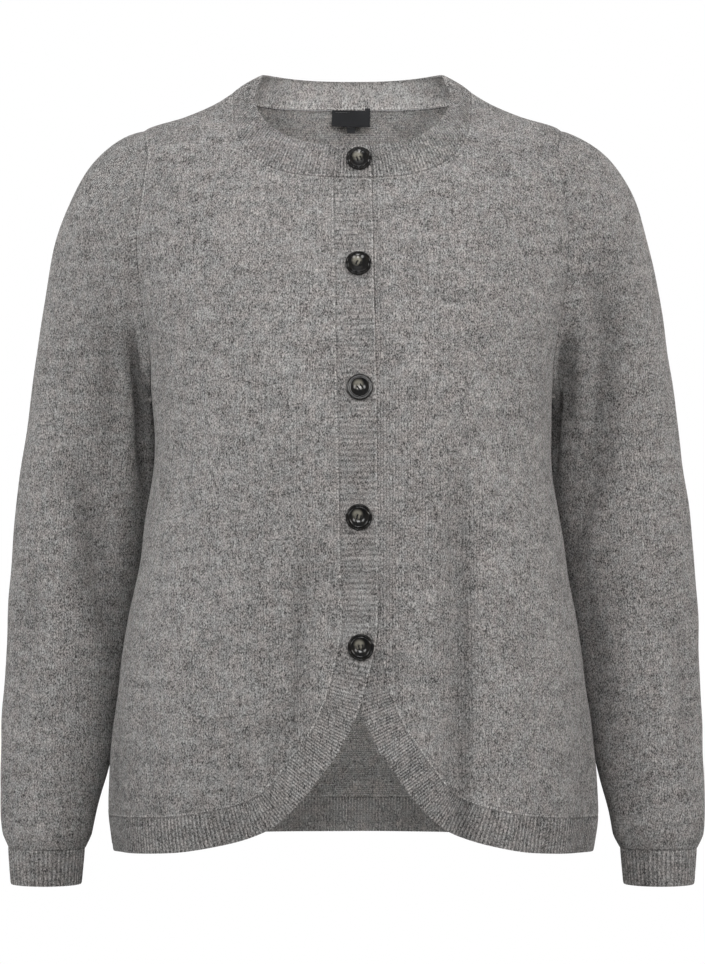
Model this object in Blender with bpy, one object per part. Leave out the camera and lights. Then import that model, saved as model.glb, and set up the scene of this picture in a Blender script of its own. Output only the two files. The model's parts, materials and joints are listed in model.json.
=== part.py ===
"""Button cardigan in fine grey knit, filled out as worn, with nobody in it.

Metres, +Z up, +Y towards the back, the wearer's left at +X. The origin is between
the two neck points, where the wearer's shoulders carry the garment.

Every cloth is a wall of even thickness over one general figure. The figure is a
stack of rounded rings, and a place on it is a share of the half ring (-1 at the
right side seam, 0 at the middle, +1 at the left side seam) and a height.
"""

import math
from collections import namedtuple
from functools import lru_cache

import bmesh
import bpy
import numpy as np
from mathutils import Vector

# ------------------------------------------------------------------ cloth
WALL = 0.0020
SEAM_GAP = 0.0003
RIB_HEIGHT = 0.0006
RIB_PITCH = 0.0041
CUFF_RIB_PITCH = 0.0038
RIGHT, LEFT = -1, 1

# ------------------------------------------------------------------ figure
SQUARENESS = 2.3
RING_STEPS = 96
LINE_STEPS = 200
NORMAL_REACH_SHARE = 0.004
NORMAL_REACH_HEIGHT = 0.001
Ring = namedtuple("Ring", "height half_width front_depth back_depth middle")
FIGURE = (
    Ring(0.0020, 0.0800, 0.012, 0.036, 0.000),
    Ring(-0.0105, 0.1005, 0.022, 0.052, 0.000),
    Ring(-0.0207, 0.1185, 0.028, 0.068, 0.000),
    Ring(-0.0309, 0.1430, 0.035, 0.079, 0.000),
    Ring(-0.0411, 0.1740, 0.045, 0.087, 0.000),
    Ring(-0.0600, 0.1940, 0.061, 0.097, 0.000),
    Ring(-0.0890, 0.2000, 0.084, 0.108, 0.001),
    Ring(-0.1200, 0.1995, 0.104, 0.116, 0.003),
    Ring(-0.1600, 0.1930, 0.126, 0.122, 0.005),
    Ring(-0.2000, 0.1840, 0.141, 0.124, 0.007),
    Ring(-0.2500, 0.1720, 0.152, 0.122, 0.008),
    Ring(-0.3135, 0.1680, 0.157, 0.117, 0.008),
    Ring(-0.3860, 0.1775, 0.157, 0.113, 0.007),
    Ring(-0.4750, 0.1930, 0.158, 0.116, 0.004),
    Ring(-0.5500, 0.2030, 0.161, 0.124, 0.002),
    Ring(-0.6150, 0.2085, 0.165, 0.131, 0.000),
    Ring(-0.6560, 0.2035, 0.165, 0.133, 0.000),
)

# ------------------------------------------------------------------ seams
NECK_HALF_WIDTH = 0.1005
NECK_POINT_HEIGHT = -0.0105
NECK_DROP = {"front": 0.0785, "back": 0.0100}
NECK_ROUNDNESS = 3.0
SHOULDER_HEIGHT = -0.0450
UNDERARM_HEIGHT = -0.2720
ARMHOLE_REACH = {"front": 0.057, "back": 0.060}
ARMHOLE_ROUNDNESS = 2.2
HEM_SEAM_BACK = -0.6200
HEM_BACK = -0.6500

# ------------------------------------------------------------------ front edge
LAP_LIFT = 0.0016
LAP_FLAT = 0.035
LAP_FADE = 0.075
EDGE_STEPS = 400
SQUARE_END_STEPS = 3
# out is the free edge's distance beyond the middle of the lap, which itself drifts
# sideways down the front; width is the ribbed band's.
EdgePoint = namedtuple("EdgePoint", "out height width lap_middle")
FRONT_EDGE = (
    EdgePoint(-0.0157, -0.0893, 0.0310, 0.0000),
    EdgePoint(-0.0157, -0.2000, 0.0312, 0.0022),
    EdgePoint(-0.0155, -0.3300, 0.0305, 0.0044),
    EdgePoint(-0.0148, -0.4550, 0.0285, 0.0056),
    EdgePoint(-0.0033, -0.5145, 0.0275, 0.0056),
    EdgePoint(0.0120, -0.5532, 0.0270, 0.0056),
    EdgePoint(0.0325, -0.5830, 0.0270, 0.0050),
    EdgePoint(0.0520, -0.6077, 0.0270, 0.0045),
    EdgePoint(0.0745, -0.6258, 0.0280, 0.0040),
    EdgePoint(0.1080, -0.6380, 0.0285, 0.0020),
    EdgePoint(0.1500, -0.6465, 0.0290, 0.0000),
    EdgePoint(0.2035, -0.6550, 0.0295, 0.0000),
)
CURVE_START = -0.560

# ------------------------------------------------------------------ neckband
BAND_TOP_HALF_WIDTH = 0.0825
BAND_TOP_DEPTH = {"front": 0.071, "back": 0.063}
BAND_TOP_HEIGHT = 0.0030
BAND_TOP_DROP = {"front": 0.0645, "back": -0.0012}
BAND_TOP_ROUNDNESS = 2.6
NECKBAND_LAP = {RIGHT: 0.0160, LEFT: 0.0150}

# ------------------------------------------------------------------ sleeves
Arm = namedtuple("Arm", "height out back half_width half_depth")
ARM = (
    Arm(-0.3100, 0.2240, 0.049, 0.0585, 0.0590),
    Arm(-0.3570, 0.2300, 0.053, 0.0590, 0.0560),
    Arm(-0.4420, 0.2410, 0.053, 0.0555, 0.0520),
    Arm(-0.5270, 0.2495, 0.042, 0.0505, 0.0480),
    Arm(-0.6000, 0.2580, 0.022, 0.0425, 0.0430),
    Arm(-0.6400, 0.2600, 0.009, 0.0385, 0.0390),
    Arm(-0.6525, 0.2604, 0.005, 0.0355, 0.0355),
)
CUFF_TOP = Arm(-0.6528, 0.2604, 0.005, 0.0345, 0.0345)
CUFF_END = Arm(-0.6830, 0.2602, -0.002, 0.0295, 0.0295)
SLEEVE_START = (0.93, 0.06, -0.20)
Pull = namedtuple("Pull", "low high")
CAP_PULL = Pull(0.012, 0.066)
ARM_PULL = Pull(0.012, 0.160)
CAP_ROWS = 10
CAP_EASE = 1.5
ARM_ROWS = 8
ELBOW_STEP = 0.02

# ------------------------------------------------------------------ folds
# across is the distance round the body from the middle (a turn in degrees on a
# sleeve, from its outer side to the front), and lean is how far it drifts downwards.
Fold = namedtuple("Fold", "piece across top bottom spread depth lean")
FOLDS = (
    Fold("front_left", 0.090, -0.340, -0.720, 0.014, -0.0085, -0.002),
    Fold("front_left", 0.122, -0.440, -0.720, 0.020, 0.0030, 0.004),
    Fold("front_left", 0.200, -0.450, -0.700, 0.024, -0.0035, 0.010),
    Fold("front_right", 0.040, -0.400, -0.640, 0.016, -0.0020, 0.010),
    Fold("front_right", 0.098, -0.520, -0.700, 0.018, -0.0030, 0.008),
    Fold("front_right", 0.190, -0.480, -0.700, 0.026, -0.0030, 0.012),
    Fold("back", 0.100, -0.360, -0.700, 0.024, -0.0045, 0.006),
    Fold("back", -0.115, -0.410, -0.700, 0.022, -0.0050, -0.006),
    Fold("back", 0.010, -0.480, -0.700, 0.030, 0.0035, 0.0),
    Fold("sleeve_right", 75.0, -0.290, -0.510, 16.0, -0.0060, 72.0),
    Fold("sleeve_left", 80.0, -0.260, -0.430, 15.0, -0.0060, 70.0),
    Fold("sleeve_left", 50.0, -0.420, -0.620, 14.0, -0.0035, -6.0),
    Fold("sleeve_right", 210.0, -0.370, -0.550, 20.0, -0.0040, 20.0),
    Fold("sleeve_left", 210.0, -0.360, -0.540, 20.0, -0.0040, 20.0),
)
FOLD_EASE = 0.10

# ------------------------------------------------------------------ grids
# The columns stand closer where the deepest fold runs.
FRONT_SHARES = (0, 0.09, 0.17, 0.235, 0.28, 0.32, 0.37, 0.44, 0.53, 0.63, 0.73, 0.82, 0.91, 1)
BACK_EXTRA_ROWS = 2
BACK_COLUMNS = 10
BACK_SHARES = tuple(i / BACK_COLUMNS for i in range(BACK_COLUMNS + 1))
YOKE_EDGE_ROWS = 7
NECK_ROWS = 6
BODY_ROWS = 9

# ------------------------------------------------------------------ trims
BUTTON_HEIGHTS = (-0.0745, -0.1655, -0.2665, -0.3720, -0.4745)
BUTTON_ACROSS = (0.0046, 0.0052, 0.0060, 0.0056, 0.0068)
BUTTON_SIDES = 14
UPPER_END_STATIONS = 4
STRIP_STEPS = (9, 41)
ProfilePoint = namedtuple("ProfilePoint", "radius height")
BUTTON_PROFILE = (
    ProfilePoint(0.0080, 0.0000),
    ProfilePoint(0.0107, 0.0014),
    ProfilePoint(0.0108, 0.0026),
    ProfilePoint(0.0098, 0.0038),
    ProfilePoint(0.0085, 0.0038),
    ProfilePoint(0.0074, 0.0029),
)
DISH_HEIGHT = 0.0025
LABEL_HALF_WIDTH = 0.0165
LABEL_TOP = -0.0215
LABEL_DROP = 0.0165
LABEL_THICKNESS = 0.0008
TAG_HALF_WIDTH = 0.0036
TAG_DROP = 0.0050

GREY_KNIT = (0.262, 0.254, 0.247, 1)
RIB_KNIT = (0.235, 0.228, 0.222, 1)
BLACK_WOVEN = (0.012, 0.013, 0.016, 1)
DARK_HORN = (0.012, 0.012, 0.011, 1)
CLOTH_ROUGHNESS = 0.95
WOVEN_ROUGHNESS = 0.8
BUTTON_ROUGHNESS = 0.2
SMOOTH_ANGLE = 40
RIB_SMOOTH_ANGLE = 25


class Table:
    """Smooth values between the rows of a table whose first column is a height."""

    def __init__(self, rows):
        rows = sorted(rows)
        self.at = np.array([row[0] for row in rows])
        self.values = np.array([row[1:] for row in rows])
        self.steps = np.diff(self.at)
        rises = np.diff(self.values, axis=0) / self.steps[:, None]
        before, after = rises[:-1], rises[1:]
        product = before * after
        total = np.where(product > 0, before + after, 1.0)
        inner = np.where(product > 0, 2 * product / total, 0.0)
        self.slopes = np.vstack([rises[:1], inner, rises[-1:]])

    def row(self, at):
        last = len(self.at) - 2
        i = min(max(int(np.searchsorted(self.at, at)) - 1, 0), last)
        step = self.steps[i]
        u = (at - self.at[i]) / step
        low, high = self.values[i], self.values[i + 1]
        bend = u * u * (3 - 2 * u)
        rise = u * (1 - u) ** 2 * step * self.slopes[i]
        fall = u * u * (u - 1) * step * self.slopes[i + 1]
        return low + bend * (high - low) + rise + fall


FIGURE_TABLE = Table(FIGURE)
ARM_TABLE = Table(ARM)


def ease(value):
    value = min(max(value, 0.0), 1.0)
    return value * value * (3 - 2 * value)


def unit(vector):
    return vector / np.linalg.norm(vector)


def mix(low, high, share):
    return low + (high - low) * share


def lengths_along(points):
    steps = np.linalg.norm(np.diff(points, axis=0), axis=1)
    return np.concatenate([[0.0], np.cumsum(steps)])


def evenly(points, count, measured=None):
    """Points at equal distances along a fine line, measured on it or on its image."""
    lengths = lengths_along(points if measured is None else measured)
    wanted = np.linspace(0, lengths[-1], count + 1)
    return np.array([np.interp(wanted, lengths, column) for column in points.T]).T


@lru_cache(maxsize=None)
def quarter_ring(face, height):
    """Lengths, widths and depths along a quarter of the ring, from its middle."""
    half_width, front_depth, back_depth, middle = FIGURE_TABLE.row(height)
    depth = front_depth + middle if face == "front" else back_depth - middle
    turns = np.linspace(0, math.pi / 2, RING_STEPS)
    across = half_width * np.sin(turns) ** (2 / SQUARENESS)
    deep = depth * np.clip(np.cos(turns), 0, 1) ** (2 / SQUARENESS)
    lengths = lengths_along(np.array([across, deep]).T)
    return lengths, across, deep, middle


def fold_shift(piece, across, height):
    """How far the folds of a piece move its cloth outwards."""
    shift = 0.0
    for fold in FOLDS:
        if fold.piece != piece or not fold.bottom < height < fold.top:
            continue
        down = (fold.top - height) / (fold.top - fold.bottom)
        away = (across - fold.across - fold.lean * down) / fold.spread
        fade = ease((fold.top - height) / FOLD_EASE) * ease((height - fold.bottom) / FOLD_EASE)
        shift += fold.depth * fade * math.exp(-away * away)
    return shift


class Cloth:
    """A body piece: its face of the figure, and how far the lap lifts it."""

    def __init__(self, piece, face, lap):
        self.piece = piece
        self.face = face
        self.lap = lap

    def girth(self, height):
        return quarter_ring(self.face, round(float(height), 6))[0][-1]

    def lap_lift(self, across):
        """How far the lap moves a front outwards, fading away from the middle."""
        return self.lap * LAP_LIFT * (1 - ease((across - LAP_FLAT) / LAP_FADE))

    def point(self, share, height):
        ring = quarter_ring(self.face, round(float(height), 6))
        lengths, across, deep, middle = ring
        along = min(abs(share), 1.0) * lengths[-1]
        x = np.interp(along, lengths, across)
        y = np.interp(along, lengths, deep)
        away = math.copysign(1.0, share)
        toward = -1.0 if self.face == "front" else 1.0
        slope = SQUARENESS - 1
        outward = np.array([
            away * (x / across[-1]) ** slope / across[-1],
            toward * (y / deep[0]) ** slope / deep[0],
            0.0,
        ])
        measured = along if self.face == "front" else along * away
        shift = self.lap_lift(along) + fold_shift(self.piece, measured, height)
        return np.array([away * x, toward * y + middle, height]) + shift * unit(outward)

    def normal(self, share, height):
        low = max(share - NORMAL_REACH_SHARE, -1.0)
        high = min(share + NORMAL_REACH_SHARE, 1.0)
        across = self.point(high, height) - self.point(low, height)
        above = self.point(share, height + NORMAL_REACH_HEIGHT)
        upward = above - self.point(share, height - NORMAL_REACH_HEIGHT)
        outward = np.cross(across, upward)
        return unit(outward if self.face == "front" else -outward)

    def share_at_width(self, x, height):
        lengths, across, deep, middle = quarter_ring(self.face, round(float(height), 6))
        share = np.interp(abs(x), across, lengths) / lengths[-1]
        return math.copysign(share, x)

    def share_at_depth(self, depth, height):
        lengths, across, deep, middle = quarter_ring(self.face, round(float(height), 6))
        return np.interp(-depth, -deep, lengths) / lengths[-1]


CLOTHS = {
    "front_right": Cloth("front_right", "front", 1),
    "front_left": Cloth("front_left", "front", -1),
    "back": Cloth("back", "back", 0),
}
FRONTS = {RIGHT: CLOTHS["front_right"], LEFT: CLOTHS["front_left"]}
SIDE_NAMES = {RIGHT: "right", LEFT: "left"}


# ------------------------------------------------------------------ outlines
def seam_share(cloth, height):
    """The share of the half ring that stops half a gap short of the side seam."""
    return 1 - SEAM_GAP / 2 / cloth.girth(height)


def neckline(cloth, side, start):
    """Neck seam from a distance off the middle to the neck point."""
    places = []
    power = 2 / NECK_ROUNDNESS
    drop = NECK_DROP[cloth.face]
    first = math.asin(min(start / NECK_HALF_WIDTH, 1) ** (1 / power))
    for turn in np.linspace(first, math.pi / 2, LINE_STEPS):
        x = NECK_HALF_WIDTH * math.sin(turn) ** power
        height = NECK_POINT_HEIGHT - drop * max(math.cos(turn), 0.0) ** power
        share = min(cloth.share_at_width(x, height), seam_share(cloth, height))
        places.append((side * share, height))
    return np.array(places)


def neck_seam_height(x, face):
    part = (abs(x) / NECK_HALF_WIDTH) ** NECK_ROUNDNESS
    return NECK_POINT_HEIGHT - NECK_DROP[face] * (1 - part) ** (1 / NECK_ROUNDNESS)


def armhole(cloth, side):
    """Armhole seam from the underarm to the shoulder point."""
    places = []
    middle = (SHOULDER_HEIGHT + UNDERARM_HEIGHT) / 2
    half = (SHOULDER_HEIGHT - UNDERARM_HEIGHT) / 2
    power = 2 / ARMHOLE_ROUNDNESS
    for turn in np.linspace(0, math.pi, LINE_STEPS):
        depth = ARMHOLE_REACH[cloth.face] * max(math.sin(turn), 0.0) ** power
        cosine = math.cos(turn)
        height = middle - half * math.copysign(abs(cosine) ** power, cosine)
        share = min(cloth.share_at_depth(depth, height), seam_share(cloth, height))
        places.append((side * share, height))
    return np.array(places)


def on_cloth(cloth, places):
    return np.array([cloth.point(share, height) for share, height in places])


def even_places(cloth, places, count):
    return evenly(places, count, on_cloth(cloth, places))


class FrontEdge:
    """One front's free edge and the seam behind it, as shares and heights."""

    def __init__(self, side):
        self.side = side
        self.cloth = FRONTS[side]
        marks = []
        for mark in FRONT_EDGE[:-1]:
            x = mark.out + side * mark.lap_middle
            around = self.cloth.share_at_width(x, mark.height) * self.cloth.girth(mark.height)
            marks.append((around, mark.height, mark.width))
        last = FRONT_EDGE[-1]
        marks.append((self.cloth.girth(last.height), last.height, last.width))
        marks = np.array(marks)
        steps = Table([(s, *mark) for s, mark in zip(lengths_along(marks[:, :2]), marks)])
        fine = np.array([steps.row(s) for s in np.linspace(0, steps.at[-1], EDGE_STEPS)])
        along = np.gradient(fine[:, :2], axis=0)
        along /= np.linalg.norm(along, axis=1)[:, None]
        inward = np.array([-along[:, 1], along[:, 0]]).T
        inward[:SQUARE_END_STEPS] = (1, 0)
        self.free = fine[:, :2]
        self.seam = fine[:, :2] + inward * fine[:, 2:3]
        self.lengths = lengths_along(self.seam)

    def place(self, line, length):
        """Share and height on one of the two lines, by the seam's own length."""
        out = np.interp(length, self.lengths, line[:, 0])
        height = np.interp(length, self.lengths, line[:, 1])
        share = min(out / self.cloth.girth(height), seam_share(self.cloth, height))
        return self.side * share, height

    def length_at_height(self, height):
        return np.interp(-height, -self.seam[:, 1], self.lengths)


EDGES = {side: FrontEdge(side) for side in (RIGHT, LEFT)}


# ------------------------------------------------------------------ meshes
def finish(name, mesh, colour, roughness, smooth_angle=SMOOTH_ANGLE):
    """Turn the faces of a closed mesh outwards and give it its object and finish."""
    bmesh.ops.recalc_face_normals(mesh, faces=mesh.faces[:])
    data = bpy.data.meshes.new(name)
    mesh.to_mesh(data)
    mesh.free()
    data.shade_smooth()
    data.set_sharp_from_angle(angle=math.radians(smooth_angle))
    thing = bpy.data.objects.new(name, data)
    bpy.context.scene.collection.objects.link(thing)
    material = bpy.data.materials.new(name)
    material.use_nodes = True
    shader = material.node_tree.nodes["Principled BSDF"]
    shader.inputs["Base Color"].default_value = colour
    shader.inputs["Roughness"].default_value = roughness
    data.materials.append(material)


def wall_mesh(points, normals, faces, inner_depth=WALL, outer_depth=0.0):
    """A wall between a sheet's outer side and the same sheet moved inwards."""
    mesh = bmesh.new()
    outer = [mesh.verts.new(p - n * outer_depth) for p, n in zip(points, normals)]
    inner = [mesh.verts.new(p - n * inner_depth) for p, n in zip(points, normals)]
    edges = set()
    for face in faces:
        mesh.faces.new([outer[i] for i in face])
        mesh.faces.new([inner[i] for i in reversed(face)])
        edges.update(zip(face, face[1:] + face[:1]))
    for first, second in edges:
        if (second, first) not in edges:
            mesh.faces.new([outer[second], outer[first], inner[first], inner[second]])
    return mesh


class Sheet:
    """Grid faces over one cloth, joined where blocks share a place."""

    def __init__(self, cloth):
        self.cloth = cloth
        self.index = {}
        self.places = []
        self.faces = []

    def corner(self, place):
        key = (round(float(place[0]), 6), round(float(place[1]), 6))
        if key not in self.index:
            self.index[key] = len(self.places)
            self.places.append(place)
        return self.index[key]

    def block(self, rows, side):
        corners = [[self.corner(place) for place in row] for row in rows]
        for low, high in zip(corners, corners[1:]):
            for i in range(len(low) - 1):
                face = [low[i], low[i + 1], high[i + 1], high[i]]
                if side * (-1 if self.cloth.face == "back" else 1) < 0:
                    face.reverse()
                self.faces.append(face)

    def build(self, name):
        points = [Vector(self.cloth.point(*place)) for place in self.places]
        normals = [Vector(self.cloth.normal(*place)) for place in self.places]
        mesh = wall_mesh(points, normals, self.faces)
        finish(name, mesh, GREY_KNIT, CLOTH_ROUGHNESS)


def yoke_rows(cloth, side, centre_line, shares):
    """Rows from the centre line and neckline to the armhole, up to the shoulder."""
    arm = even_places(cloth, armhole(cloth, side), len(centre_line) - 1)
    rows = []
    for inner, outer in zip(centre_line, arm):
        rows.append([mix(inner, outer, share) for share in shares])
    rows[-1] = [
        np.array([side * seam_share(cloth, place[1]), place[1]]) for place in rows[-1]
    ]
    return rows


def filled_rows(top, bottom, left, right):
    """Rows of a block that meets four lines at its corners."""
    rows = []
    count, width = len(left) - 1, len(top) - 1
    for j in range(count + 1):
        down = j / count
        row = []
        for i in range(width + 1):
            over = i / width
            corners = mix(mix(top[0], top[-1], over), mix(bottom[0], bottom[-1], over), down)
            place = mix(top[i], bottom[i], down) + mix(left[j], right[j], over) - corners
            row.append(place)
        rows.append(row)
    return rows


def front_lines(side):
    """The front panel's edge places: beside the lap, along the cutaway and the hem."""
    edge = EDGES[side]
    cloth = edge.cloth
    top = edge.length_at_height(UNDERARM_HEIGHT)
    split = edge.length_at_height(CURVE_START)
    upper = [edge.place(edge.seam, s) for s in np.linspace(top, 0, YOKE_EDGE_ROWS + 1)]
    middle = [edge.place(edge.seam, s) for s in np.linspace(top, split, BODY_ROWS + 1)]
    curve_count = len(FRONT_SHARES) - 1
    curve = np.linspace(split, edge.lengths[-1], curve_count + 1)
    hem = [edge.place(edge.seam, s) for s in curve]
    start = abs(cloth.point(*upper[-1])[0])
    neck = even_places(cloth, neckline(cloth, side, start), NECK_ROWS)
    return np.array(upper), np.array(middle), np.array(hem), neck


def front_panel(side):
    cloth = FRONTS[side]
    upper, middle, hem, neck = front_lines(side)
    centre_line = np.vstack([upper, neck[1:]])
    sheet = Sheet(cloth)
    rows = yoke_rows(cloth, side, centre_line, FRONT_SHARES)
    sheet.block(rows, side)
    seam_heights = np.linspace(UNDERARM_HEIGHT, hem[-1][1], BODY_ROWS + 1)
    side_seam = np.array([(side * seam_share(cloth, h), h) for h in seam_heights])
    lower = filled_rows(np.array(rows[0]), hem, middle, side_seam)
    sheet.block(lower[::-1], side)
    sheet.build(cloth.piece)
    return rows, hem, middle, neck


def back_panel():
    cloth = CLOTHS["back"]
    sheet = Sheet(cloth)
    yokes = {}
    for side in (RIGHT, LEFT):
        neck = even_places(cloth, neckline(cloth, side, 0.0), NECK_ROWS)
        heights = np.linspace(UNDERARM_HEIGHT, neck[0][1], YOKE_EDGE_ROWS + 1)
        centre_line = np.vstack([[(0.0, h) for h in heights], neck[1:]])
        rows = yoke_rows(cloth, side, centre_line, BACK_SHARES)
        sheet.block(rows, side)
        yokes[side] = rows
        lower = []
        for height in np.linspace(HEM_SEAM_BACK, UNDERARM_HEIGHT, BODY_ROWS + 1 + BACK_EXTRA_ROWS):
            edge = side * seam_share(cloth, height)
            lower.append([np.array([edge * share, height]) for share in BACK_SHARES])
        lower[-1] = rows[0]
        sheet.block(lower, side)
        yokes[side, "hem"] = lower[0]
    sheet.build(cloth.piece)
    return yokes


# ------------------------------------------------------------------ ribbed strips
Station = namedtuple("Station", "seam free seam_normal free_normal")


def cloth_station(cloth, seam_place, free_place):
    """A rib line that runs on the cloth from a panel's edge to a free edge."""
    seam = cloth.point(*seam_place)
    free = cloth.point(*free_place)
    start = seam + unit(free - seam) * SEAM_GAP
    return Station(start, free, cloth.normal(*seam_place), cloth.normal(*free_place))


def free_stations(seams, frees, outside, closed=False):
    """Rib lines between two lines in space, with normals from the strip itself."""
    stations = []
    count = len(seams)
    for i in range(count):
        before, after = i - 1, i + 1
        if closed:
            after %= count
        else:
            before, after = max(before, 0), min(after, count - 1)
        across = unit(frees[i] - seams[i])
        seam_normal = unit(np.cross(seams[after] - seams[before], across))
        free_normal = unit(np.cross(frees[after] - frees[before], across))
        if np.dot(seam_normal, outside(seams[i])) < 0:
            seam_normal, free_normal = -seam_normal, -free_normal
        start = seams[i] + across * SEAM_GAP
        stations.append(Station(start, frees[i], seam_normal, free_normal))
    return stations


def ribbed_strip(name, stations, pitch, closed=False):
    """A wall whose outer points rise and fall as ribs, over a plain inner side."""
    mesh = bmesh.new()
    count = len(stations)
    inner = []
    for station in stations:
        seam = mesh.verts.new(station.seam - station.seam_normal * WALL)
        free = mesh.verts.new(station.free - station.free_normal * WALL)
        inner.append((seam, free))
    outer = [(mesh.verts.new(s.seam), mesh.verts.new(s.free)) for s in stations]
    pairs = [(i, (i + 1) % count) for i in range(count if closed else count - 1)]
    for i, j in pairs:
        first, last = stations[i], stations[j]
        length = np.linalg.norm((last.seam + last.free - first.seam - first.free) / 2)
        steps = 2 * max(round(length / pitch), 1)
        line = [outer[i]]
        for k in range(1, steps):
            share = k / steps
            lift = RIB_HEIGHT * (k % 2)
            seam = mix(first.seam, last.seam, share)
            free = mix(first.free, last.free, share)
            seam += lift * unit(mix(first.seam_normal, last.seam_normal, share))
            free += lift * unit(mix(first.free_normal, last.free_normal, share))
            line.append((mesh.verts.new(seam), mesh.verts.new(free)))
        line.append(outer[j])
        for one, two in zip(line, line[1:]):
            mesh.faces.new([one[0], two[0], two[1], one[1]])
        mesh.faces.new([inner[i][0], inner[i][1], inner[j][1], inner[j][0]])
        for end in (0, 1):
            half = steps // 2
            for k in range(steps):
                hub = inner[i if k < half else j][end]
                mesh.faces.new([hub, line[k][end], line[k + 1][end]])
            mesh.faces.new([inner[i][end], line[half][end], inner[j][end]])
    if not closed:
        for i in (0, count - 1):
            mesh.faces.new([inner[i][0], inner[i][1], outer[i][1], outer[i][0]])
    finish(name, mesh, RIB_KNIT, CLOTH_ROUGHNESS, RIB_SMOOTH_ANGLE)


def front_band(side, hem, middle):
    """Ribbed band from the neck seam, down the front, round the cutaway to the side."""
    edge = EDGES[side]
    top = edge.length_at_height(UNDERARM_HEIGHT)
    split = edge.length_at_height(CURVE_START)
    lengths = list(np.linspace(0, top, YOKE_EDGE_ROWS + 1))
    lengths += list(np.linspace(top, split, len(middle)))[1:]
    lengths += list(np.linspace(split, edge.lengths[-1], len(hem)))[1:]
    stations = []
    for length in lengths:
        seam = edge.place(edge.seam, length)
        free = edge.place(edge.free, length)
        stations.append(cloth_station(edge.cloth, seam, free))
    ribbed_strip("band_" + SIDE_NAMES[side], stations, RIB_PITCH)
    return stations


def back_hem(yokes):
    cloth = CLOTHS["back"]
    seam_places = list(yokes[RIGHT, "hem"])[::-1] + list(yokes[LEFT, "hem"])[1:]
    stations = []
    for share, height in seam_places:
        turn = share / seam_share(cloth, HEM_SEAM_BACK) * seam_share(cloth, HEM_BACK)
        stations.append(cloth_station(cloth, (share, height), (turn, HEM_BACK)))
    ribbed_strip("hem_back", stations, RIB_PITCH)


def band_top(x, face, lift=0.0):
    """A place on the neckband's free upper edge, by its distance from the middle."""
    part = min(abs(x) / BAND_TOP_HALF_WIDTH, 1.0)
    bow = (1 - part ** BAND_TOP_ROUNDNESS) ** (1 / BAND_TOP_ROUNDNESS)
    toward = -1.0 if face == "front" else 1.0
    depth = (BAND_TOP_DEPTH[face] + lift) * bow
    return np.array([x, toward * depth, BAND_TOP_HEIGHT - BAND_TOP_DROP[face] * bow])


def band_top_line(face):
    power = 2 / BAND_TOP_ROUNDNESS
    widths = BAND_TOP_HALF_WIDTH * np.sin(np.linspace(0, math.pi / 2, LINE_STEPS)) ** power
    return np.array([band_top(x, face) for x in widths])


def band_top_widths(face, start, count):
    """Even steps along the free edge, from a distance off the middle to the side."""
    line = band_top_line(face)
    lengths = lengths_along(line)
    first = np.interp(start, line[:, 0], lengths)
    return np.interp(np.linspace(first, lengths[-1], count), lengths, line[:, 0])


def neckband_half(side, front, back):
    """Seam and free-edge points of half the neckband, from the lap to the back's middle."""
    cloth = FRONTS[side]
    narrowing = BAND_TOP_HALF_WIDTH / NECK_HALF_WIDTH
    seams = []
    for x in (-side * NECKBAND_LAP[side], 0.0):
        height = neck_seam_height(x, "front")
        seams.append(cloth.point(cloth.share_at_width(x, height), height))
    seams += [cloth.point(*place) for place in front]
    seams += [CLOTHS["back"].point(*place) for place in back[-2::-1]]
    start = abs(cloth.point(*front[0])[0]) * narrowing
    front_widths = side * band_top_widths("front", start, len(front))
    back_widths = side * band_top_widths("back", 0.0, len(back))[-2::-1]
    widths = [-side * NECKBAND_LAP[side] * narrowing, 0.0, *front_widths]
    frees = [band_top(x, "front", cloth.lap_lift(abs(x))) for x in widths]
    frees += [band_top(x, "back") for x in back_widths]
    return seams, frees


def neckband(fronts, backs):
    """One ribbed strip round the neck, from its under end to its upper end."""
    seams, frees = neckband_half(LEFT, fronts[LEFT], backs[LEFT])
    right_seams, right_frees = neckband_half(RIGHT, fronts[RIGHT], backs[RIGHT])
    seams += right_seams[-2::-1]
    frees += right_frees[-2::-1]
    stations = free_stations(seams, frees, lambda place: place * (1, 1, 0))
    ribbed_strip("neckband", stations, RIB_PITCH)
    return stations


# ------------------------------------------------------------------ sleeves
def arm_point(name, side, row, turn):
    """A place on a sleeve's section; turn runs from the outer side to the front."""
    height, out, back, half_width, half_depth = row
    shift = fold_shift(name, math.degrees(turn) % 360, height)
    x = out + (half_width + shift) * math.cos(turn)
    y = back - (half_depth + shift) * math.sin(turn)
    return np.array([side * x, y, height])


def arm_row(height):
    return (height, *ARM_TABLE.row(height))


def bezier(first, second, third, last, t):
    s = 1 - t
    return first * s ** 3 + second * 3 * s * s * t + third * 3 * s * t * t + last * t ** 3


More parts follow.
